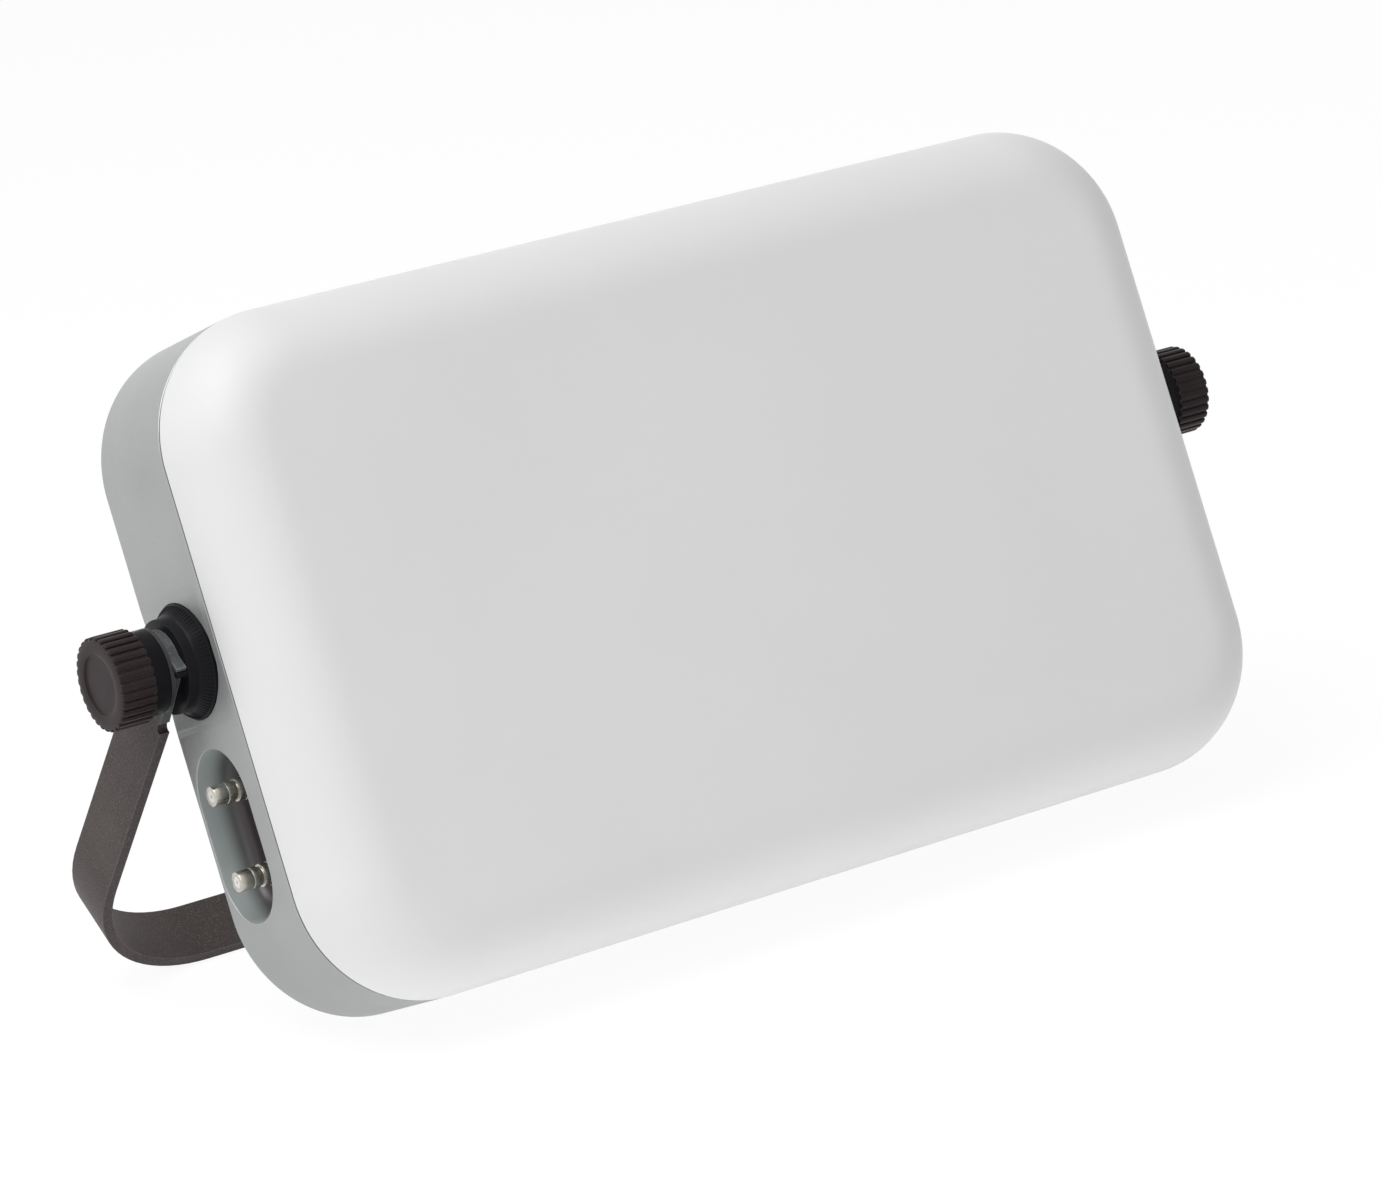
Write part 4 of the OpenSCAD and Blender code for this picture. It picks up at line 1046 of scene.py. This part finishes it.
studio = {"floorHalf": 6.0, "floorTone": 0.92, "floorWhite": 0.90, "floorGlow": 0.32, "world": 0.20,
          "aim": (0, 0, 0.1), "camera": (-943.30, -1546.22, -67.68), "lens": 154.915,
          "shiftY": 0.0154}
lamps = [  # name, position in metres, width and height, watts
    ("steepLeftPanel", (-1.5, -0.5, 2.4), (1.8, 1.8), 40.5),
    ("topPanel", (-0.1, -0.2, 2.4), (1.8, 1.8), 10.0),
    ("frontLeftPanel", (-1.3, -2.2, 2.3), (1.2, 1.2), 8.0),
    ("backLeftPanel", (-1.0, 0.9, 2.4), (1.4, 1.4), 12.0),
    ("lowLeftPanel", (-2.2, -0.2, 0.22), (1.8, 0.4), 0.3),
]


def seenShare(tree):
    rays = tree.nodes.new("ShaderNodeLightPath")
    camera, through = rays.outputs["Is Camera Ray"], rays.outputs["Is Transmission Ray"]
    seen = mathNode(tree, "MAXIMUM", camera, through)
    return mathNode(tree, "MAXIMUM", seen, rays.outputs["Is Glossy Ray"])


def makeFloor():
    size = studio["floorHalf"]
    mesh = bpy.data.meshes.new("studioFloor")
    corners = [(-size, -size, 0), (size, -size, 0), (size, size, 0), (-size, size, 0)]
    mesh.from_pydata(corners, [], [(0, 1, 2, 3)])
    floor = linkNew("studioFloor", mesh)
    material = bpy.data.materials.new("paleFloor")
    material.use_nodes = True
    tree = material.node_tree
    tree.nodes.clear()
    output = tree.nodes.new("ShaderNodeOutputMaterial")
    diffuse = tree.nodes.new("ShaderNodeBsdfDiffuse")
    diffuse.inputs["Color"].default_value = (*[studio["floorTone"]]*3, 1)
    glow = tree.nodes.new("ShaderNodeEmission")
    glow.inputs["Color"].default_value = (1, 1, 1, 1)
    bounce = tree.nodes.new("ShaderNodeEmission")
    bounce.inputs["Strength"].default_value = studio["floorGlow"]
    lit = tree.nodes.new("ShaderNodeAddShader")
    share = mathNode(tree, "MULTIPLY", seenShare(tree), studio["floorWhite"])
    mix = tree.nodes.new("ShaderNodeMixShader")
    tree.links.new(share, mix.inputs[0])
    tree.links.new(diffuse.outputs[0], lit.inputs[0])
    tree.links.new(bounce.outputs[0], lit.inputs[1])
    tree.links.new(lit.outputs[0], mix.inputs[1])
    tree.links.new(glow.outputs[0], mix.inputs[2])
    tree.links.new(mix.outputs[0], output.inputs["Surface"])
    mesh.materials.append(material)


def makeWorld():
    world = bpy.data.worlds.new("studioWorld")
    scene.world = world
    world.use_nodes = True
    tree = world.node_tree
    tree.nodes.clear()
    output = tree.nodes.new("ShaderNodeOutputWorld")
    dim = tree.nodes.new("ShaderNodeBackground")
    dim.inputs["Strength"].default_value = studio["world"]
    bright = tree.nodes.new("ShaderNodeBackground")
    bright.inputs["Strength"].default_value = 1.0
    for node in (dim, bright):
        node.inputs["Color"].default_value = (1, 1, 1, 1)
    mix = tree.nodes.new("ShaderNodeMixShader")
    tree.links.new(seenShare(tree), mix.inputs[0])
    tree.links.new(dim.outputs[0], mix.inputs[1])
    tree.links.new(bright.outputs[0], mix.inputs[2])
    tree.links.new(mix.outputs[0], output.inputs["Surface"])


def makeLamps():
    aim = Vector(studio["aim"])
    for name, spot, size, watts in lamps:
        data = bpy.data.lights.new(name, "AREA")
        data.shape = "RECTANGLE"
        data.size, data.size_y = size
        data.energy = watts
        lamp = bpy.data.objects.new(name, data)
        scene.collection.objects.link(lamp)
        lamp.location = spot
        lamp.rotation_euler = (aim - Vector(spot)).to_track_quat("-Z", "Y").to_euler()


def makeCamera():
    # right, up and back of the camera in the panel's own axes
    right = Vector((0.82525175, -0.4851738, -0.28907774))
    up = -Vector((-0.23469192, 0.17095722, -0.95691866))
    back = -Vector((0.51369179, 0.85754301, 0.02721637))
    turn = Matrix((right, up, back)).transposed().to_4x4()
    data = bpy.data.cameras.new("photoCamera")
    data.lens = studio["lens"]
    data.sensor_width = 36
    data.sensor_fit = "HORIZONTAL"
    data.shift_y = studio["shiftY"]
    data.clip_end = 50
    camera = bpy.data.objects.new("photoCamera", data)
    scene.collection.objects.link(camera)
    camera.matrix_world = panelFrame @ Matrix.Translation(Vector(studio["camera"])*mm) @ turn
    scene.camera = camera


makeFloor()
makeWorld()
makeLamps()
makeCamera()
scene.view_settings.view_transform = "Standard"
print("studio made")
